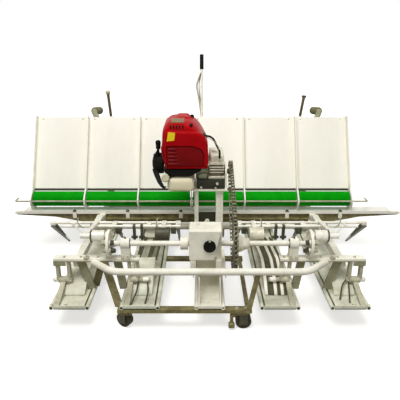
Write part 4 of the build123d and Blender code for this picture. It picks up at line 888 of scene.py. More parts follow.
# ---------------------------------------------------------------- engine
@dataclass
class EngineCover:
    """The engine's domed cover, with its front shield, louvred panel, slots and plates."""

    foot: float = 411.0
    groove: float = 262.0                 # Y of the recessed face round the shield
    slot_x: tuple[float, ...] = (-117.6, -108.3, -99.0, -89.8, -80.0)
    louvre_z: tuple[float, ...] = (475.0, 463.5, 452.0, 440.5, 429.0)
    # Y, how far it is drawn in and its top's height, for each ring of the shell
    rings: tuple[Point, ...] = (
        (262.0, 4.0, 537.0), (266.0, 1.0, 543.0), (280.0, 0.0, 549.0), (305.0, 0.0, 553.0),
        (335.0, 0.0, 554.0), (412.0, 0.0, 554.0), (430.0, 4.0, 550.0), (438.0, 10.0, 544.0),
        (440.0, 16.0, 538.0),
    )

    def outline(self, top: float) -> list[Flat]:
        """The shell's outline for one height of its top."""
        corners = (
            (-134, self.foot, 5), (-5, self.foot, 7), (-1, 430, 10), (-2, top - 82, 22),
            (-15, top - 50, 16), (-36, top - 18, 18), (-60, top, 18), (-120, top, 16),
            (-143, top - 18, 16), (-146, top - 66, 20), (-150, 474, 14), (-144, 438, 14),
        )
        return rounded_outline(corners, 5)

    def shell(self) -> Piece:
        """Shapes the shell, cuts its slots and paints shade on its forward faces round the shield.
        """
        rings = [flat("y", inset(self.outline(top), draw), y) for y, draw, top in self.rings]
        shell = loft("engine_cover_shell", rings)
        cutters = [block("slot", span(x, 4.8), (240, 274), (533.5, 547), 0) for x in self.slot_x]
        cut(shell, *cutters)
        shell.data.materials.append(Finish.RED.material())
        shell.data.materials.append(Finish.MAROON.material())
        # the forward faces round the shield take the dark red: painted shade for the groove there
        for face in shell.data.polygons:
            forward = face.normal.y < -0.9 and face.center.y < at(0, self.groove + 1, 0).y
            face.material_index = int(forward)
        return soften(shell, angle=32)

    def slots(self) -> Piece:
        """Shapes a dark block behind each slot: painted shade for its hollow."""
        parts = [block("hollow", span(x, 4.6), (264.6, 275), (533.7, 544.5), 0.3, 1)
                 for x in self.slot_x]
        return joined("engine_slot_painted_shade", parts)

    def shield(self) -> Piece:
        """Shapes the bulging front shield with the recess for the louvred panel."""
        corners = ((-134, 412, 5), (-6, 412, 6), (-2, 428, 8), (-6, 500, 20), (-22, 523, 18),
                   (-60, 530, 20), (-132, 531, 12), (-140, 500, 16))
        steps = ((266, 0), (257, 0), (253.5, 1.5), (251.2, 4.5), (250.2, 9), (250, 14))
        shield = stepped("engine_cover_shield", "y", rounded_outline(corners, 5), steps)
        cut(shield, plate("recess", "y", self.panel_outline(0), 230, 257))
        return soften(shield, angle=35)

    def panel_outline(self, draw: float) -> list[Flat]:
        """The louvred panel's outline, drawn in by a clearance."""
        corners = ((-131, 417, 4), (-17, 417, 5), (-13, 450, 14), (-22, 477, 16), (-50, 486, 18),
                   (-131, 486, 5))
        return inset(rounded_outline(corners, 5), draw)

    def panel(self) -> Piece:
        """Shapes the louvred panel, its right part turned a little back."""
        outline = self.panel_outline(0.8)
        front = [(x, 252.2 + max(0.0, (x + 58) * 0.05), z) for x, z in inset(outline, 1.5)]
        rings = [flat("y", outline, 258), flat("y", outline, 255.5), front]
        parts = [loft("engine_panel", rings)]
        for index, z in enumerate(self.louvre_z):
            right = -101 + 2.2 * index
            rings = [flat("x", [(254, z + 4), (249.6, z), (249.6, z - 1.4), (254, z - 1.4)], x)
                     for x in (-126, right)]
            parts.append(loft("louvre", rings))
        return soften(joined("engine_louvred_panel", parts), 0.4, 1)

    def top_plate(self) -> Piece:
        """Shapes the bare plate on the top slope, from inside the shell to just proud of it."""
        slope = [(-117, 282), (-77, 282), (-77, 330), (-117, 330)]
        # the cover's top rises about 1 in 10 here
        rings = [[(x, y, 549.2 + (y - 280) / 10 + lift) for x, y in slope] for lift in (-3.0, 2.6)]
        return loft("engine_top_plate", rings)

    def sticker(self) -> Piece:
        """Shapes the blank sticker on the shield."""
        corners = ((-129, 500, 2), (-106, 502, 2), (-103, 526, 2), (-124, 528, 2))
        return plate("engine_blank_sticker", "y", rounded_outline(corners, 3), 250.6, 249.4)

    def knob(self) -> Piece:
        """Shapes the black knob beside the crest."""
        profile = ((0, 7), (6, 7), (9, 5), (10.5, 2))
        return soften(turned("engine_top_knob", (-55, 396, 546), (0.3, 0, 1), profile, 14))

    def eye(self) -> Piece:
        """Shapes the black round piece at the cover's front edge: painted shade for a small hole.
        """
        profile = ((0, 5), (7.4, 5), (7.8, 4))
        return soften(turned("engine_cover_hole_shade", (-55, 277, 541), (0, -0.6, 0.8), profile, 16))

    def crest(self) -> Piece:
        """Shapes the raised hump on the cover's top."""
        corners = ((-104, 338, 12), (-62, 338, 12), (-62, 424, 12), (-104, 424, 12))
        steps = ((550, 0), (554.5, 1), (556.6, 4), (557.6, 9), (557.9, 14))
        crest = stepped("engine_cover_crest", "z", rounded_outline(corners, 5), steps)
        return soften(crest, angle=40)

    def build(self) -> None:
        """Builds and dresses the cover."""
        dress_all(
            "frame",
            (self.shell(), Finish.RED, "red_cover", "engine_cover"),
            (self.shield(), Finish.RED, "red_cover"),
            (self.slots(), Finish.BLACK, "black_plastic"),
            (self.crest(), Finish.RED, "red_cover"),
            (self.panel(), Finish.MAROON, "red_cover"),
            (self.top_plate(), Finish.BRASS, "machined_steel"),
            (self.sticker(), Finish.STICKER, "red_cover"),
            (self.knob(), Finish.BLACK, "black_plastic"),
            (self.eye(), Finish.BLACK, "black_plastic"),
        )


@dataclass
class EngineBase:
    """The black housing under the cover, with the recoil starter and its guard."""

    drum_middle: Point = (-147.0, 330.0, 410.0)
    handle: Point = (-160.0, 306.0, 461.0)

    def housing(self) -> Piece:
        """Shapes the housing under the cover."""
        corners = ((-114, 385.3, 4), (-60, 385.3, 6), (-26, 402, 6), (-22, 412, 3), (-140, 412, 3),
                   (-140, 396, 8))
        steps = ((260, 4), (264, 0), (424, 0), (430, 4))
        return soften(stepped("engine_housing", "y", rounded_outline(corners, 4), steps))

    def drum(self) -> Piece:
        """Shapes the starter's drum with its raised ribs."""
        profile = ((-2, 31), (0, 34), (12, 34), (16, 33), (23, 30.5), (29, 26), (33, 19), (35, 10))
        parts = [soften(turned("drum", self.drum_middle, (-1, 0, 0), profile, 40))]
        rib = block("rib", (-178, -162), (329, 331), (427, 441), 0.5, 1)
        centre = at(*self.drum_middle)
        for step in range(12):
            turn = Matrix.Translation(centre) @ Matrix.Rotation(math.radians(30 * step), 4, "X")
            parts.append(copied(rib, turn @ Matrix.Translation(-centre)))
        bpy.data.objects.remove(rib)
        return joined("starter_drum", parts)

    def pull(self) -> Piece:
        """Shapes the starter's pull handle and its neck."""
        x, y, z = self.handle
        rings = []
        for rise, wide, deep in ((0, 3, 3), (1.5, 6, 5), (6, 8, 7), (12, 7.2, 6.4), (20, 8.4, 7),
                                 (26, 8, 7), (29, 5.5, 5), (30, 3, 3)):
            rings.append([(x + wide * math.cos(a), y + deep * math.sin(a), z + rise)
                          for a in [math.tau * step / 18 for step in range(18)]])
        path = ((x, y, z + 2), (x - 2, y + 6, z - 8), (x - 4, 318, 441))
        parts = [loft("pull", rings), tube("neck", path, (3.2, 5, 10), 14)]
        return soften(joined("starter_pull", parts), angle=50)

    def guard(self) -> Piece:
        """Shapes the tapered guard that runs from the drum down past the tank."""
        spine = ((-168, 306, 396, 13), (-161, 292, 380, 13), (-152, 276, 362, 11),
                 (-145, 266, 352, 9), (-139, 261, 348, 8), (-136.4, 259, 352, 6))
        rings = []
        for x, y, z, wide in spine:
            left, right = x - wide, x + wide * 0.3
            corners = ((left, y - 4, 2), (right, y - 4, 2), (right, y + 6, 2), (left, y + 6, 2))
            rings.append(flat("z", rounded_outline(corners, 3), z))
        return soften(loft("starter_guard", rings), angle=50)

    def build(self) -> None:
        """Builds and dresses the housing, drum, pull and guard."""
        dress_all(
            "frame",
            (self.housing(), Finish.BLACK, "black_plastic", "engine_block"),
            (self.drum(), Finish.BLACK, "black_plastic", "starter"),
            (self.pull(), Finish.BLACK, "black_plastic"),
            (self.guard(), Finish.BLACK, "black_plastic"),
        )


@dataclass
class FuelTank:
    """The milky tank under the engine, with its cap on a dark neck."""

    x: Flat = (-131.0, -46.0)
    y: Flat = (254.0, 375.0)
    cap_place: Point = (-135.5, 262.0, 379.0)

    def tank(self) -> Piece:
        """Shapes the tank with its rounded shoulders."""
        (left, right), (front, back) = self.x, self.y
        corners = ((left, front, 14), (right, front, 14), (right, back, 14), (left, back, 14))
        steps = ((337, 7), (338.5, 3), (342, 0.6), (347, 0), (366, 0.4), (372, 2.2), (377, 6),
                 (380, 11), (382, 18))
        tank = stepped("fuel_tank_shell", "z", rounded_outline(corners, 6), steps)
        return soften(tank, angle=50)

    def screw_cap(self) -> Piece:
        """Shapes the ribbed cap, facing forward and up."""
        profile = ((0, 11.5), (2, 12.3), (11, 12.3), (13, 10.8), (13.2, 7), (12.4, 6.4))
        cap = turned("fuel_cap", self.cap_place, (-0.05, -0.92, 0.36), profile, 40)
        # every other point of its rim stands out by half a millimetre, as a rib
        for vertex in cap.data.vertices:
            vertex.co += vertex.normal * (0.5 * MM * (vertex.index % 2))
        return soften(cap, angle=30)

    def neck(self) -> Piece:
        """Shapes the dark neck between the cap and the tank's shoulder."""
        path = ((-134, 266, 379), (-124, 272, 380), (-108, 280, 377), (-96, 284, 372))
        return soften(tube("fuel_neck", path, (11.0, 9.5, 7.5, 5.0), 16), angle=50)

    def build(self) -> None:
        """Builds and dresses the tank, cap, neck and clip."""
        dress_all(
            "frame",
            (self.tank(), Finish.TANK, "natural_tank", "fuel_tank"),
            (self.screw_cap(), Finish.CAP, "natural_tank"),
            (self.neck(), Finish.DARK, "black_plastic"),
            (block("tank_clip", (-52, -47), (256, 262), (368, 377), 1.5), Finish.ZINC,
             "machined_steel"),
        )


@dataclass
class Reducer:
    """The finned case on the engine's output, its bell, the box under it and the throttle's end."""

    case_x: Flat = (0.0, 50.0)
    case_y: Flat = (290.0, 400.0)
    # low Z, high Z and how far each fin stands proud of the case
    fins: tuple[Point, ...] = ((414.0, 424.0, 4.0), (404.5, 408.0, 3.0), (396.0, 399.0, 3.0),
                               (387.5, 390.0, 2.0), (368.5, 376.5, 4.0))
    # X, Z and radius of each seat on the box's front; the last one holds no bolt
    bolts: tuple[Point, ...] = ((27.0, 354.0, 5.0), (-24.0, 341.0, 4.2), (22.0, 339.5, 3.6),
                                (-14.0, 345.0, 6.5))

    def slab(self, name: str, z: Flat, grow: float, edge: float) -> Piece:
        """Shapes one layer of the case, larger all round by an amount.

        Args:
            name: The layer's name.
            z: Its lower and upper face.
            grow: How far it stands out, or in when below 0.
            edge: Width of its edges' rounding.

        Returns:
            The new layer.
        """
        x = (self.case_x[0] + 3 - grow, self.case_x[1] - 3 + grow)
        y = (self.case_y[0] + 5 - grow, self.case_y[1] - 5 + grow)
        return block(name, x, y, z, edge, 3)

    def upper(self) -> Piece:
        """Shapes the pale upper case with its two bolts and its top boss."""
        parts = [self.slab("crown", (420, 448), 0.5, 6),
                 turned("boss", (24, 335, 444), (0, 0, 1), ((0, 15), (9, 14), (11, 11)), 24)]
        for x in (10, 38):
            parts.append(turned("bolt", (x, 296, 439), (0, -1, 0),
                                ((0, 3.6), (4, 3.6), (4.6, 3)), 6))
        return soften(joined("reducer_crown", parts), angle=35)

    def middle(self) -> Piece:
        """Shapes the middle of the case, darkened as painted shade under the fins."""
        return soften(self.slab("reducer_core", (370, 422), -2.0, 4))

    def finned(self) -> Piece:
        """Shapes the bright fins and flange."""
        parts = [self.slab("fin", (low, high), proud, 1.4) for low, high, proud in self.fins]
        return joined("reducer_fins", parts)

    def bell(self) -> Piece:
        """Shapes the flared bell between the engine and the case."""
        profile = ((0, 24), (3, 26), (8, 25.5), (20, 21), (34, 17), (44, 16))
        bell = turned("bell", (-42, 330, 384), (1, 0, 0), profile, 32)
        foot = block("foot", (-34, -4), (296, 350), (366, 384), 4)
        return soften(joined("reducer_bell", [bell, foot]), angle=40)

    def box(self) -> Piece:
        """Shapes the dark lower box with its bosses."""
        parts = [block("body", (-37, 50), (288, 399), (335.3, 368), 3.5, 3),
                 block("lip", (-38, 51), (286, 400), (335.2, 339), 1.2)]
        for x, z, radius in self.bolts:
            profile = ((0, radius + 3.5), (2.5, radius + 3), (2.5, radius + 1))
            parts.append(turned("seat", (x, 289, z), (0, -1, 0), profile, 16))
        return soften(joined("reducer_box", parts), angle=35)

    def heads(self) -> Piece:
        """Shapes the box's bright bolt heads."""
        parts = [turned("head", (x, 287, z), (0, -1, 0),
                        ((0, radius), (3.4, radius), (4, radius - 0.8)), 6, 20)
                 for x, z, radius in self.bolts[:-1]]
        return soften(joined("reducer_bolts", parts), angle=30)

    def throttle(self) -> None:
        """Builds and dresses the throttle's grommet, stop, inner wire and spring."""
        gland = turned("throttle_grommet", (-31, 276, 516.5), (1, 0, -0.17),
                       ((0, 4.4), (12, 4.6), (13, 6.2), (19.6, 6.2), (21, 4.2)), 20)
        stop = block("throttle_stop", (29.5, 42.5), (284, 293.6), (426, 446), 1.4)
        path = ((-15, 275, 511), (12, 270, 499), (32, 271, 477), (30, 278, 452))
        wire = tube("throttle_inner_wire", path, 1.1, 6, 14)
        # six turns of ten points, 3.4 mm round
        turns = [math.tau * step / 10 for step in range(60)]
        coil = [(36 + 3.4 * math.cos(turn), 283 + 3.4 * math.sin(turn), 428 + step * 0.32)
                for step, turn in enumerate(turns)]
        spring = tube("throttle_spring", coil, 0.9, 6)
        dress_all(
            "frame",
            (soften(gland), Finish.DARK, "black_plastic"),
            (stop, Finish.ZINC, "machined_steel"),
            (soften(wire, angle=60), Finish.ZINC, "machined_steel"),
            (soften(spring, angle=60), Finish.ZINC, "machined_steel"),
        )

    def build(self) -> None:
        """Builds and dresses the reducer and the throttle's end."""
        dress_all(
            "frame",
            (self.upper(), Finish.CAST, "silver_case", "reducer"),
            (self.middle(), Finish.CASE_DARK, "silver_case"),
            (self.finned(), Finish.CAST, "silver_case"),
            (self.bell(), Finish.CASE_GREEN, "silver_case"),
            (self.box(), Finish.IRON, "dark_steel"),
            (self.heads(), Finish.ZINC, "machined_steel"),
        )
        self.throttle()


# ---------------------------------------------------------------- drive
@dataclass
class DriveChain:
    """The roller chain round both wheels, link by link."""

    links: int = 68
    pitch: float = 12.7
    big_teeth: int = 36
    small_teeth: int = 11
    middle: Point = (72.0, CRANK_Y, CRANK_Z)
    lean: float = math.atan2(152.0, 237.0)    # the small wheel's axis is 237 behind, 152 above
    clear: float = 8.0                    # the pins' distance outside the pitch circles

    def centres(self) -> float:
        """The distance between the two wheels' axes."""
        spare = 2 * self.links - self.big_teeth - self.small_teeth
        gap = self.big_teeth - self.small_teeth
        return self.pitch / 8 * (spare + math.sqrt(spare ** 2 - 8 / math.pi ** 2 * gap ** 2))

    def places(self) -> list[Point]:
        """Places the pins evenly along the loop.

        Returns:
            Each pin's middle, in millimetres.
        """
        big, small = (self.pitch / (2 * math.sin(math.pi / teeth)) + self.clear
                      for teeth in (self.big_teeth, self.small_teeth))
        apart = self.centres()
        lean = math.asin((big - small) / apart)
        run = math.sqrt(apart ** 2 - (big - small) ** 2)
        arcs = (small * (math.pi - 2 * lean), big * (math.pi + 2 * lean))
        step = (2 * run + sum(arcs)) / self.links
        pins = []
        for index in range(self.links):
            far, top, low = index * step, math.pi / 2 - lean, lean - math.pi / 2
            if far < run:
                share, turn = far / run, top
            elif far < run + arcs[0]:
                share, turn = 1.0, top - (far - run) / small
            elif far < 2 * run + arcs[0]:
                share, turn = 1 - (far - run - arcs[0]) / run, low
            else:
                share, turn = 0.0, low - (far - 2 * run - arcs[0]) / big
            radius = big + (small - big) * share
            ahead = apart * share + radius * math.cos(turn)
            rise = radius * math.sin(turn)
            c, s = math.cos(self.lean), math.sin(self.lean)
            pins.append((self.middle[0], self.middle[1] + ahead * c - rise * s,
                         self.middle[2] + ahead * s + rise * c))
        return pins

    def link(self, length: float, wide: float) -> Piece:
        """Shapes one link about its middle: two waisted plates, with rollers or pins.

        Args:
            length: Distance between its pins.
            wide: Half of its width over the plates.

        Returns:
            The link, its pins along Y.
        """
        half = length / 2
        # radius of the plates' ends, half of their waist and their thickness
        eye, waist, sheet = 4.4, 3.1, 1.3
        outline = []
        for end in (1, -1):
            for step in range(7):
                turn = math.radians(-75 + 25 * step) + (0 if end > 0 else math.pi)
                outline.append((end * half + eye * math.cos(turn), eye * math.sin(turn)))
            outline.append((0.0, end * waist))
        parts = [plate("plate", "x", outline, side * (wide - sheet), side * wide)
                 for side in (-1, 1)]
        for end in (-1, 1):
            radius, reach = (3.6, wide - 1.4) if wide < 5 else (1.9, wide + 0.4)
            profile = ((0, radius - 0.4), (0.4, radius), (2 * reach - 0.4, radius),
                       (2 * reach, radius - 0.4))
            parts.append(turned("roller", (-reach, end * half, 0), (1, 0, 0), profile, 12))
        return soften(joined("link", parts), angle=40)

    def build(self) -> None:
        """Builds and dresses the chain."""
        pins = self.places()
        length = (Vector(pins[1]) - Vector(pins[0])).length
        models = (self.link(length, 4.6), self.link(length, 6.2))
        origin, chain = at(0, 0, 0), []
        for index, pin in enumerate(pins):
            here, there = at(*pin), at(*pins[(index + 1) % len(pins)])
            turn = math.atan2(there.z - here.z, there.y - here.y)
            move = Matrix.Translation((here + there) / 2) @ Matrix.Rotation(turn, 4, "X")
            chain.append(copied(models[index % 2], move @ Matrix.Translation(-origin)))
        for model in models:
            bpy.data.objects.remove(model)
        dress(joined("drive_chain_links", chain), Finish.CHAIN, "frame", "dark_steel", "chain")


def hexes(name: str, places: Sequence[Point], along: Point, radius: float,
          height: float) -> Piece:
    """Shapes hexagon bolt heads on washers, all facing one way.

    Args:
        name: The piece's name.
        places: The middle of each washer's underside.
        along: The direction that the heads face.
        radius: Half the width across a head's corners.
        height: A head's height.

    Returns:
        The heads as one piece.
    """
    parts = []
    for index, place in enumerate(places):
        start = Vector(place)
        washer = ((-0.4, radius * 1.25), (1.0, radius * 1.25), (1.2, radius * 1.15))
        parts.append(turned("washer", place, along, washer, 18))
        head = turned("head", tuple(start + Vector(along).normalized()), along,
                      ((0, radius), (height - 0.8, radius), (height, radius * 0.82)), 6, 17 * index)
        parts.append(head)
    return soften(joined(name, parts), angle=25)


@dataclass
class GearboxFittings:
    """The gearbox's dark plug and breather, the large wheel's hub and the bearings' fittings."""

    plug: Point = (-0.5, 56.0, 243.5)
    bearing_x: tuple[float, ...] = (-246.0, 246.0)

    def black_plug(self) -> Piece:
        """Shapes the dark plug with the slot across its rim."""
        profile = ((0, 17.4), (6.4, 17.8), (8.0, 17.2), (8.8, 15.6), (8.4, 12.6), (7.2, 11.6),
                   (6.9, 6))
        plug = turned("gearbox_black_plug", self.plug, (0, -1, 0), profile, 40)
        cut(plug, block("notch", span(self.plug[0], 5), (40, 51.5), (257.5, 264), 0))
        return soften(plug, angle=35)

    def hub(self) -> Piece:
        """Shapes the pale hub on the large wheel's outer side."""
        profile = ((0, 31), (4, 31), (9, 26), (20, 22), (28, 17.5), (38, 16), (40, 14))
        hub = turned("crank_wheel_hub", (76, CRANK_Y, CRANK_Z), (1, 0, 0), profile, 36)
        return soften(hub, angle=30)

    def breather(self) -> Piece:
        """Shapes the gearbox's six-sided breather."""
        profile = ((0, 7), (3, 7), (3.4, 5), (8, 5), (9.5, 3.5))
        return soften(turned("gearbox_breather", (-34, 96, 289), (0, 0, 1), profile, 6))

    def bolts(self) -> Piece:
        """Shapes the bolts that hold both bearings down."""
        places = [(x + dx, CRANK_Y + dy, 192) for x in self.bearing_x for dx in (-8, 8)
                  for dy in (-12, 16)]
        return hexes("bearing_bolts", places, (0, 0, 1), 3.6, 3.6)

    def seals(self) -> Piece:
        """Shapes the seal on each side of both bearings."""
        profile = ((0, 13.4), (1.2, 13.4), (1.6, 12.6), (1.2, 9.6))
        rings = [turned("ring", (x + side * 12.6, CRANK_Y, CRANK_Z), (side, 0, 0), profile, 32)
                 for x in self.bearing_x for side in (-1, 1)]
        return soften(joined("bearing_seals", rings))

    def nipples(self) -> Piece:
        """Shapes the grease nipple on each bearing."""
        profile = ((0, 3.2), (2.6, 3.2), (3, 1.6), (6, 2.1), (7, 1.2))
        parts = [turned("nipple", (x, CRANK_Y, CRANK_Z + 15), (0, 0, 1), profile, 10)
                 for x in self.bearing_x]
        return soften(joined("bearing_nipples", parts))

    def build(self) -> None:
        """Builds and dresses the fittings."""
        dress_all("frame", (self.black_plug(), Finish.BLACK, "black_plastic"),
                  (self.breather(), Finish.WHITE, "white_paint"))
        dress(self.hub(), Finish.CAST, "crankshaft", "silver_case")
        dress_all(
            "frame",
            (self.seals(), Finish.DARK, "black_plastic"),
            (self.bolts(), Finish.ZINC, "machined_steel"),
            (self.nipples(), Finish.BRASS, "machined_steel"),
        )


@dataclass
class PlanterFittings:
    """Clamps, hooks, drop arms, sleeve, flange, forks and crank nuts of one planting unit."""

    side: int                             # -1 on the left, 1 on the right
    throw: float = 24.0                   # the crank pin's distance above the crankshaft
    nut_ring: float = 24.0                # radius of the ring of nuts on the crank disc
    arms_x: tuple[float, ...] = (100.0, 300.0, 500.0)
    clamps_x: tuple[float, ...] = (112.0, 286.0, 370.0)
    drops_x: tuple[float, ...] = (212.0, 236.0, 370.0)

    @property
    def label(self) -> str:
        """The side's name."""
        return "left" if self.side < 0 else "right"

    def hooks(self) -> Piece:
        """Shapes the bent wires that hang from the bars."""
        runs = (((161, 218, 262), (167, 216, 240), (160, 214, 222), (142, 212, 190)),
                ((410, 219, 262), (414, 218, 252), (409, 217, 240), (395, 217, 229)))
        parts = [tube("hook", [(self.side * x, y, z) for x, y, z in run], 2.0, 8, 14)
                 for run in runs]
        return soften(joined(f"{self.label}_unit_hooks", parts), angle=60)

    def clamps(self) -> Piece:
        """Shapes the forged clamps that grip both bars."""
        parts = []
        for x in self.clamps_x:
            corners = ((218, 209, 4), (256, 213, 4), (256, 227.5, 4), (218, 227.5, 4))
            outline = rounded_outline(corners, 4)
            low, high = sorted((self.side * (x - 8), self.side * (x + 8)))
            parts.append(plate("clamp", "x", inset(outline, -1.6), low, high))
        return soften(joined(f"{self.label}_unit_clamps", parts), 0.8, 2)

    def drops(self) -> Piece:
        """Shapes the flat forged arms that hang under the bars, each with its cross pin."""
        parts = []
        for x in self.drops_x:
            corners = ((212, 240, 3), (226, 240, 3), (229, 198, 4), (221, 187, 4), (213, 190, 4))
            low, high = sorted((self.side * (x - 4), self.side * (x + 4)))
            parts.append(plate("arm", "x", rounded_outline(corners, 4), low, high))
            parts.append(turned("pin", (self.side * (x - 10), 220, 197), (self.side, 0, 0),
                                ((0, 4), (0.6, 4.6), (19.4, 4.6), (20, 4)), 16))
        return soften(joined(f"{self.label}_unit_drop_arms", parts), 0.6, 2)

    def forks(self) -> Piece:
        """Shapes the planting fork's two prongs at the foot of each arm."""
        parts = []
        for x in self.arms_x:
            for offset in (-4.0, 4.0):
                path = ((self.side * x + offset, 352, 142), (self.side * x + offset, 384, 116),
                        (self.side * x + offset * 0.8, 404, 101))
                parts.append(tube("prong", path, (2.4, 2.2, 1.2), 8))
        return soften(joined(f"{self.label}_unit_forks", parts), angle=50)

    def sleeve(self) -> Piece:
        """Shapes the flanged sleeve round the carrier."""
        start = (self.side * 120, 154, 237)
        profile = ((0, 18), (0.6, 21.4), (4, 21.4), (4.6, 20.4), (38, 20.4), (38.6, 21.4),
                   (43, 21.4), (43.6, 18))
        sleeve = turned(f"{self.label}_carrier_sleeve", start, (self.side, 0, 0), profile, 36)
        return soften(sleeve, angle=30)

    def flange(self) -> Piece:
        """Shapes the flange round the crank pin, on the housing."""
        start = (self.side * 340, CRANK_Y, CRANK_Z + self.throw)
        profile = ((0, 18.6), (4, 18.6), (4.6, 17.6))
        return soften(turned(f"{self.label}_housing_flange", start, (self.side, 0, 0), profile, 32))

    def build(self) -> None:
        """Builds and dresses the unit's fittings."""
        dress_all(
            f"{self.label}_planter",
            (self.clamps(), Finish.FORGED, "dark_steel"),
            (self.drops(), Finish.FORGED, "dark_steel"),
            (self.forks(), Finish.TURNED, "machined_steel"),
            # the left sleeve's dark finish is painted shade; the right one is plain cast
            (self.sleeve(), Finish.FORGED if self.side < 0 else Finish.CAST, "dark_steel"),
            (self.hooks(), Finish.BEIGE, "machined_steel"),
            (self.flange(), Finish.FORGED, "dark_steel"),
        )
        ring = [(CRANK_Y + self.nut_ring * math.cos(turn), CRANK_Z + self.nut_ring * math.sin(turn))
                for turn in map(math.radians, (150, 210, 270, 330))]
        outer, inner = ([(self.side * x, y, z) for y, z in ring] for x in (302, 284))
        dress_all(
            "crankshaft",
            (hexes(f"{self.label}_crank_nuts", outer, (self.side, 0, 0), 7.6, 8.5), Finish.BEIGE,
             "dark_steel"),
            (hexes(f"{self.label}_crank_bolts", inner, (-self.side, 0, 0), 7.0, 7.5), Finish.FORGED,
             "dark_steel"),
        )


# ---------------------------------------------------------------- frame, skids, tray
def on_tray(x: float, up: float, out: float) -> Point:
    """A place on the tray, from its lower edge up its slope and out from its front face."""
    sine, cosine = math.sin(TRAY_TILT), math.cos(TRAY_TILT)
    return (x, TRAY_FOOT_Y + up * sine - out * cosine, TRAY_FOOT_Z + up * cosine + out * sine)


def tray_strip(name: str, x: Flat, up: Flat, out: Flat) -> Piece:
    """Shapes a flat strip that lies along the tray's slope."""
    corners = ((x[0], up[0]), (x[1], up[0]), (x[1], up[1]), (x[0], up[1]))
    return loft(name, [[on_tray(*corner, height) for corner in corners] for height in out])


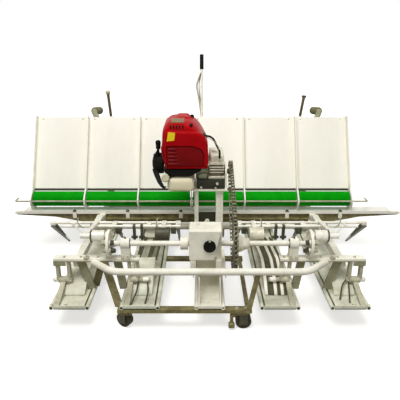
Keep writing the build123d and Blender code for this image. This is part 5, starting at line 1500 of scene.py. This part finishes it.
@dataclass
class SkidDetails:
    """The skids' painted shade at seams, open ends and between strips, curved guards and strips,
    bars, rests and foot rivets.
    """

    rows: tuple[float, ...] = (-400.0, -200.0, 200.0, 400.0)
    half: float = 57.5                    # half of a skid's width
    rim: float = 6.0                      # radius of its rolled edges
    strips_x: float = 200.0               # the skid that carries the curved strips

    def seams(self) -> Piece:
        """Shapes a dark strip at the seam between each sheet and its rolled edges: painted shade.
        """
        parts = []
        for x in self.rows:
            for side in (-1, 1):
                # a dark strip at the seam: painted shade
                middle = x + side * (self.half - 2 * self.rim - 2.2)
                parts.append(block("seam", span(middle, 4.4), (3, 636), (SKID_TOP, SKID_TOP + 0.9),
                                   0.2, 1))
        return joined("skid_edge_painted_shade", parts)

    def bores(self) -> Piece:
        """Shapes a dark plug in each rolled edge's front end as painted shade for its hollow, and
        the painted shade under the lip.
        """
        parts = []
        for x in self.rows:
            for side in (-1, 1):
                # a dark plug in the open end: painted shade for its hollow
                middle = (x + side * (self.half - self.rim), 0.15, 75)
                parts.append(turned("bore", middle, (0, 1, 0),
                                    ((0, 4.6), (0.5, 4.6), (3, 3.9), (9, 3.9)), 18))
            parts.append(block("shadow", (x - 45, x + 45), (0.4, 2.4), (70.4, 73.4), 0.3, 1))
        return soften(joined("skid_end_painted_shade", parts))

    def curve(self, share: float) -> Flat:
        """A place on the curved sheets' side view, from their foot to their top."""
        rise = math.sin(share * math.pi / 2 * 0.9) / math.sin(math.pi / 2 * 0.9)
        return 66 + 136 * share ** 1.15, 77.6 + 54 * rise

    def strips(self, dark: bool) -> Piece:
        """Shapes the curved strips over the skids, or the dark webs of painted shade between them.

        Args:
            dark: Whether the webs are made.

        Returns:
            All of them as one piece.
        """
        name, offsets, wide, thick = (
            ("skid_web_painted_shade", (-25.5, -14.0, 9.0, 25.0), 12.5, 0.6) if dark
            else ("skid_curved_strips", (-31.0, -3.0, 17.0), 9.0, 2.8)
        )
        parts = [self.band(self.strips_x + offset, wide, thick, True) for offset in offsets]
        return soften(joined(name, parts), angle=30)

    def band(self, x: float, wide: float, thick: float, runs_on: bool) -> Piece:
        """Shapes one curved band over a skid.

        Args:
            x: Its middle.
            wide: Its width.
            thick: Its thickness.
            runs_on: Whether it runs on behind, falling gently.

        Returns:
            The new band.
        """
        left, right = span(x, wide)
        rings = []
        for step in range(12):
            y, z = self.curve(step / 11)
            rings.append([(left, y, z), (right, y, z), (right, y, z + thick), (left, y, z + thick)])
        if runs_on:
            rings.append([(side, 430, rise - 32) for side, _, rise in rings[-1]])
        return loft("band", rings)

    def rear_bars(self) -> Piece:
        """Shapes the bars that run on behind the second skid's sheet."""
        parts = []
        for x, wide in ((-224, 11), (-190, 15), (-168, 7)):
            left, right = span(x, wide)
            rings = [[(left, y, z), (right, y, z), (right, y, z + 3), (left, y, z + 3)]
                     for y, z in ((196, 128), (300, 116), (430, 99))]
            parts.append(loft("bar", rings))
        return soften(joined("skid_rear_bars", parts), 0.5, 1)

    def rests(self) -> Piece:
        """Shapes the posts that hold the strips' and bars' rear ends over the sheet."""
        parts = []
        for x in (-200.0, 200.0):
            parts.append(block("rest", (x - 36, x + 36), (422, 434), (94.5, 100.2), 1.2))
            for side in (-1, 1):
                parts.append(block("post", span(x + side * 30, 8), (424, 432), (SKID_TOP, 96), 1))
        return joined("skid_strip_rests", parts)

    def guards(self) -> Piece:
        """Shapes the plain curved sheet on each of the other three skids."""
        parts = [self.band(x, 61.0, 2.4, False) for x in self.rows if x != self.strips_x]
        return soften(joined("skid_plain_guards", parts), 0.6, 1, 30)

    def bars(self) -> Piece:
        """Shapes the thin bars that lie over the plain sheets."""
        runs = (((-186, 97, 109), (-180, 56, 95), (-186, 20, 79)),
                ((-212, 97, 109), (-215, 52, 93), (-226, 14, 79)),
                ((418, 97, 111), (411, 66, 104), (404, 24, 79)),
                ((412, 98, 113), (394, 78, 107), (380, 40, 79)))
        parts = [tube("bar", run, 2.3, 8, 12) for run in runs]
        return soften(joined("skid_thin_bars", parts), angle=50)

    def rivets(self) -> Piece:
        """Shapes the rivets at the foot of the outer skids' hinges."""
        parts = [turned("rivet", (x, 4, 82), (0, 0, 1), ((0, 5), (2, 5), (3, 3.6)), 14)
                 for x in (-451, -410, 410, 451)]
        return soften(joined("hinge_foot_rivets", parts))

    def build(self) -> None:
        """Builds and dresses the skids' details."""
        dress_all(
            "frame",
            (self.seams(), Finish.SEAM, "dark_steel"),
            (self.bores(), Finish.DARK, "dark_steel"),
            (self.guards(), Finish.SHEET, "white_paint", "skid_guards"),
            (self.rear_bars(), Finish.SEAM, "dark_steel"),
            (self.rests(), Finish.OLIVE_GREY, "dark_steel"),
            (self.bars(), Finish.SEAM, "dark_steel"),
            (self.strips(False), Finish.WHITE, "white_paint"),
            # the dark webs are painted shade between the curved strips
            (self.strips(True), Finish.SEAM, "dark_steel"),
            (self.rivets(), Finish.ZINC, "machined_steel"),
        )


@dataclass
class AngleDetails:
    """Olive end plates, lips of painted shade, bolts, adjusting studs and hinge rollers of the
    angle irons.
    """

    inner: float = 208.0                  # the irons' ends, from the machine's middle
    outer: float = 460.0
    studs_x: float = 362.0
    bolts_x: tuple[float, ...] = (222.0, 300.0, 330.0, 380.0, 430.0)

    def roller(self, side: int, start: float, end: float) -> Piece:
        """Shapes one hinge's pin with its two rollers, from outside in.

        Args:
            side: -1 on the left, 1 on the right.
            start: The outer end, from the machine's middle.
            end: The inner end.

        Returns:
            The new pin.
        """
        reach = start - end
        near, far = reach * 0.3, reach * 0.7
        profile = ((-3, 2.6), (-1, 4.2), (2, 4.2), (2, 7.2), (near, 7.2), (near, 5.6),
                   (far, 5.6), (far, 7.2), (reach - 4, 7.2), (reach - 3, 4), (reach, 3))
        return turned("roller", (side * start, CRANK_Y, HINGE_Z), (-side, 0, 0), profile, 20)

    def build(self) -> None:
        """Builds and dresses both sides' details."""
        ends, lips, bolts, rollers, studs = [], [], [], [], []
        for side in (-1, 1):
            edge = side * self.outer
            ends.append(block("end", (side * (self.outer - 36), edge), (86.8, 88.2),
                              (163.2, 176.6), 0.5, 1))
            # the dark lip strip is painted shade under the lip
            lips.append(block("lip", (side * self.inner, edge), (86.9, 88.2),
                              (176.2, 179.4), 0.4, 1))
            bolts += [(side * x, 103, ANGLE_TOP) for x in self.bolts_x]
            rollers += [self.roller(side, 466, 410), self.roller(side, 246, 178)]
            foot = (side * self.studs_x, 94, ANGLE_TOP - 0.4)
            studs.append(turned("stud", foot, (0, 0, 1), ((0, 4.6), (9, 4.6), (10, 3.6)), 14))
            studs.append(turned("nut", foot, (0, 0, 1), ((0, 9.4), (5.4, 9.4), (6.2, 8)), 6))
        dress_all(
            "frame",
            (soften(joined("angle_adjusting_studs", studs), angle=30), Finish.BEIGE,
             "machined_steel"),
            (joined("angle_end_plates", ends), Finish.OLIVE_GREY, "olive_paint"),
            (joined("angle_lip_painted_shade", lips), Finish.OLIVE_GREY, "olive_paint"),
            (hexes("angle_bolts", bolts, (0, 0, 1), 3.6, 2.4), Finish.ZINC, "machined_steel"),
            (soften(joined("hinge_rollers", rollers)), Finish.CREAM, "machined_steel"),
        )


@dataclass
class TrayDetails:
    """Rivets, painted shade beside the right ribs and along the lower edge of the seedling tray,
    and the ledge's notches.
    """

    # X of the ribs' and of the seedling gates' middles
    ribs: tuple[float, ...] = tuple(-657.5 + 199.1667 * index for index in range(7))
    gates: tuple[float, ...] = (-500.0, -300.0, -100.0, 100.0, 300.0, 500.0)

    def build(self) -> None:
        """Builds and dresses the details."""
        # only the right ribs get a dark strip along one side: painted shade
        seams = [tray_strip("seam", (x + 2.6, x + 5.4), (4, 284), (-0.2, 0.5))
                 for x in self.ribs[4:-1]]
        dress(joined("tray_rib_painted_shade", seams), Finish.SEAM, "tray", "dark_steel")
        # a dark strip along the tray's lower edge: painted shade of the gap above the rollers
        edge = tray_strip("tray_lower_edge_shade", (-656, 536), (-3, 6), (-0.2, 0.9))
        dress(edge, Finish.DARK, "tray", "black_plastic")
        outward = (0, -math.cos(TRAY_TILT), math.sin(TRAY_TILT))
        rivets = []
        for x in self.ribs[:-1]:
            for offset in (23, 176):
                rivets.append(turned("rivet", on_tray(x + offset, 279, -0.3), outward,
                                     ((0, 3.6), (1.0, 3.3), (1.8, 2.1), (2.1, 0.9)), 12))
        dress(soften(joined("tray_rivets", rivets)), Finish.ZINC, "tray", "machined_steel")
        notches = []
        for x in self.gates:
            corners = ((x - 8, 164, 2), (x + 8, 164, 2), (x + 5, 178.5, 3), (x - 5, 178.5, 3))
            notches.append(plate("notch", "y", rounded_outline(corners, 3), 503.2, 510))
        dress(soften(joined("ledge_notches", notches)), Finish.SEAM, "frame", "dark_steel")


@dataclass
class StandDetails:
    """Castor top plates and brake pedal, the stand's bolts, and the uprights' web and gusset."""

    # the castors that show their top plates, each with its X and Y
    castors: tuple[tuple[str, float, float], ...] = (("front_left", -241.0, 21.0),
                                                     ("front_right", 90.0, 21.0))

    def build(self) -> None:
        """Builds and dresses the details."""
        for label, x, y in self.castors:
            body = f"castor_{label}"
            corners = ((x - 17, 47, 5), (x + 17, 47, 5), (x + 20, 57.6, 2), (x - 20, 57.6, 2))
            top = plate(f"{body}_top_plate", "y", rounded_outline(corners, 4), y - 16, y + 16)
            dress(soften(top, 0.4, 1), Finish.OLIVE, body, "olive_paint")
        pedal = [block("arm", (58, 68), (4, 10), (22, 52), 1.5),
                 block("foot", (54, 72), (-2, 12), (8, 24), 3, 3),
                 block("lug", (60, 76), (6, 12), (40, 54), 1.5)]
        dress(joined("castor_brake_pedal", pedal), Finish.OLIVE, "castor_front_right",
              "olive_paint")
        web = ((-34, 162.5), (25, 162.5), (25, 245), (-34, 245))
        rings = []
        for half, z in ((17, 162.5), (16, 194), (11, 208), (5, 221)):
            left, right = -4 - half, -4 + half
            corners = ((left, 301, 2), (right, 301, 2), (right, 315, 2), (left, 315, 2))
            rings.append(flat("z", rounded_outline(corners, 3), z))
        bolts = [(x, 8, 69) for x in (-252, -230, 78, 104)]
        dress_all(
            "frame",
            (plate("upright_dark_web", "y", web, 314, 317), Finish.IRON, "dark_steel"),
            (soften(loft("upright_gusset", rings)), Finish.WHITE, "white_paint"),
            (hexes("stand_bolts", bolts, (0, 0, 1), 4.2, 3), Finish.ZINC, "machined_steel"),
        )


@dataclass
class HandleDetails:
    """Ribbed grips, the levers' sleeves and ends, and the centre lever's squeeze arm and cable."""

    def build(self) -> None:
        """Builds and dresses the details."""
        profile = [(0, 14.4)]
        for rib in range(12):
            low = 2.0 + rib * 8.0
            profile += [(low, 15.2), (low + 1.6, 16.4), (low + 4.6, 16.4), (low + 6.2, 15.2)]
        profile += [(97, 15.2), (98.6, 12.5)]
        for side, label in ((-1, "left"), (1, "right")):
            grip = turned(f"grip_{label}_ribs", (side * 470, 846, 492), (0, 120, -16), profile, 28)
            dress(soften(grip, angle=40), Finish.GRIP, "frame", "grey_grip", f"grip_{label}")
        self.side_levers()
        self.centre_lever()

    def side_levers(self) -> None:
        """Shapes the side levers' dark sleeves, the left one's knob, the right one's cross end."""
        for label, foot, head in (("left", (-392, 790.3, 464.6), (-404, 814.3, 567)),
                                  ("right", (380, 790.3, 464.6), (398, 814.3, 558))):
            low, high = Vector(foot), Vector(head)
            axis, length = tuple(high - low), (high - low).length
            profile = ((16, 5.2), (17, 5.6), (length - 18, 5.6), (length + 0.6, 6.4),
                       (length + 1.4, 5.0))
            dress(soften(turned(f"lever_{label}_sleeve", foot, axis, profile, 16)), Finish.LEVER,
                  "frame", "dark_steel")
            if label == "left":
                top = turned("lever_left_knob", head, axis,
                             ((-2, 5), (0, 7.6), (4, 9.6), (8, 9.6), (12, 7.4), (14, 3.6)), 24)
                dress(soften(top, angle=50), Finish.CAP, "frame", "white_paint")
            else:
                cross = turned("lever_right_cross", tuple(high - Vector((9, 0, 0))), (1, 0, -0.1),
                               ((0, 3), (1, 4.6), (17, 4.6), (18, 3)), 16)
                dress(soften(cross), Finish.LEVER, "frame", "dark_steel")

    def centre_lever(self) -> None:
        """Shapes the squeeze lever beside the centre lever, and its inner cable."""
        squeeze = ((-25, 862, 645), (-38, 852, 612), (-42, 845, 596), (-31, 822, 538),
                   (-23, 797, 478))
        line = ((-24, 858, 648), (-33, 846, 600), (-27, 822, 540), (-15, 798, 482))
        arm = tube("lever_centre_squeeze", squeeze, 3.6, 10, 16)
        cable = tube("lever_centre_line", line, 1.7, 8, 16)
        dress_all("frame", (soften(arm, angle=50), Finish.BEIGE, "white_paint"),
                  (soften(cable, angle=60), Finish.LEVER, "dark_steel"))


def dress_frame() -> None:
    """Gives every carried-over node the finish of its own material slot."""
    slots = {part["node"]: part["material_slot"] for part in frame["record"]["subparts"]}
    for name, node in frame["nodes"].items():
        finish = NODE_FINISH.get(name, SLOT_FINISH[slots[name]])
        for place in node.material_slots:
            place.material = finish.material()
        LOG.info("dressed %s in %s", name, finish.value.name)


def main() -> None:
    """Builds the studio, the finishes and the pieces in order."""
    logging.basicConfig(level=logging.INFO, format="%(name)s: %(message)s")
    Studio().build()
    dress_frame()
    pieces = (EngineCover(), EngineBase(), FuelTank(), Reducer(), DriveChain(), GearboxFittings(),
              PlanterFittings(-1), PlanterFittings(1), SkidDetails(), AngleDetails(), TrayDetails(),
              StandDetails(), HandleDetails())
    for piece in pieces:
        piece.build()


if __name__ == "__main__":
    main()
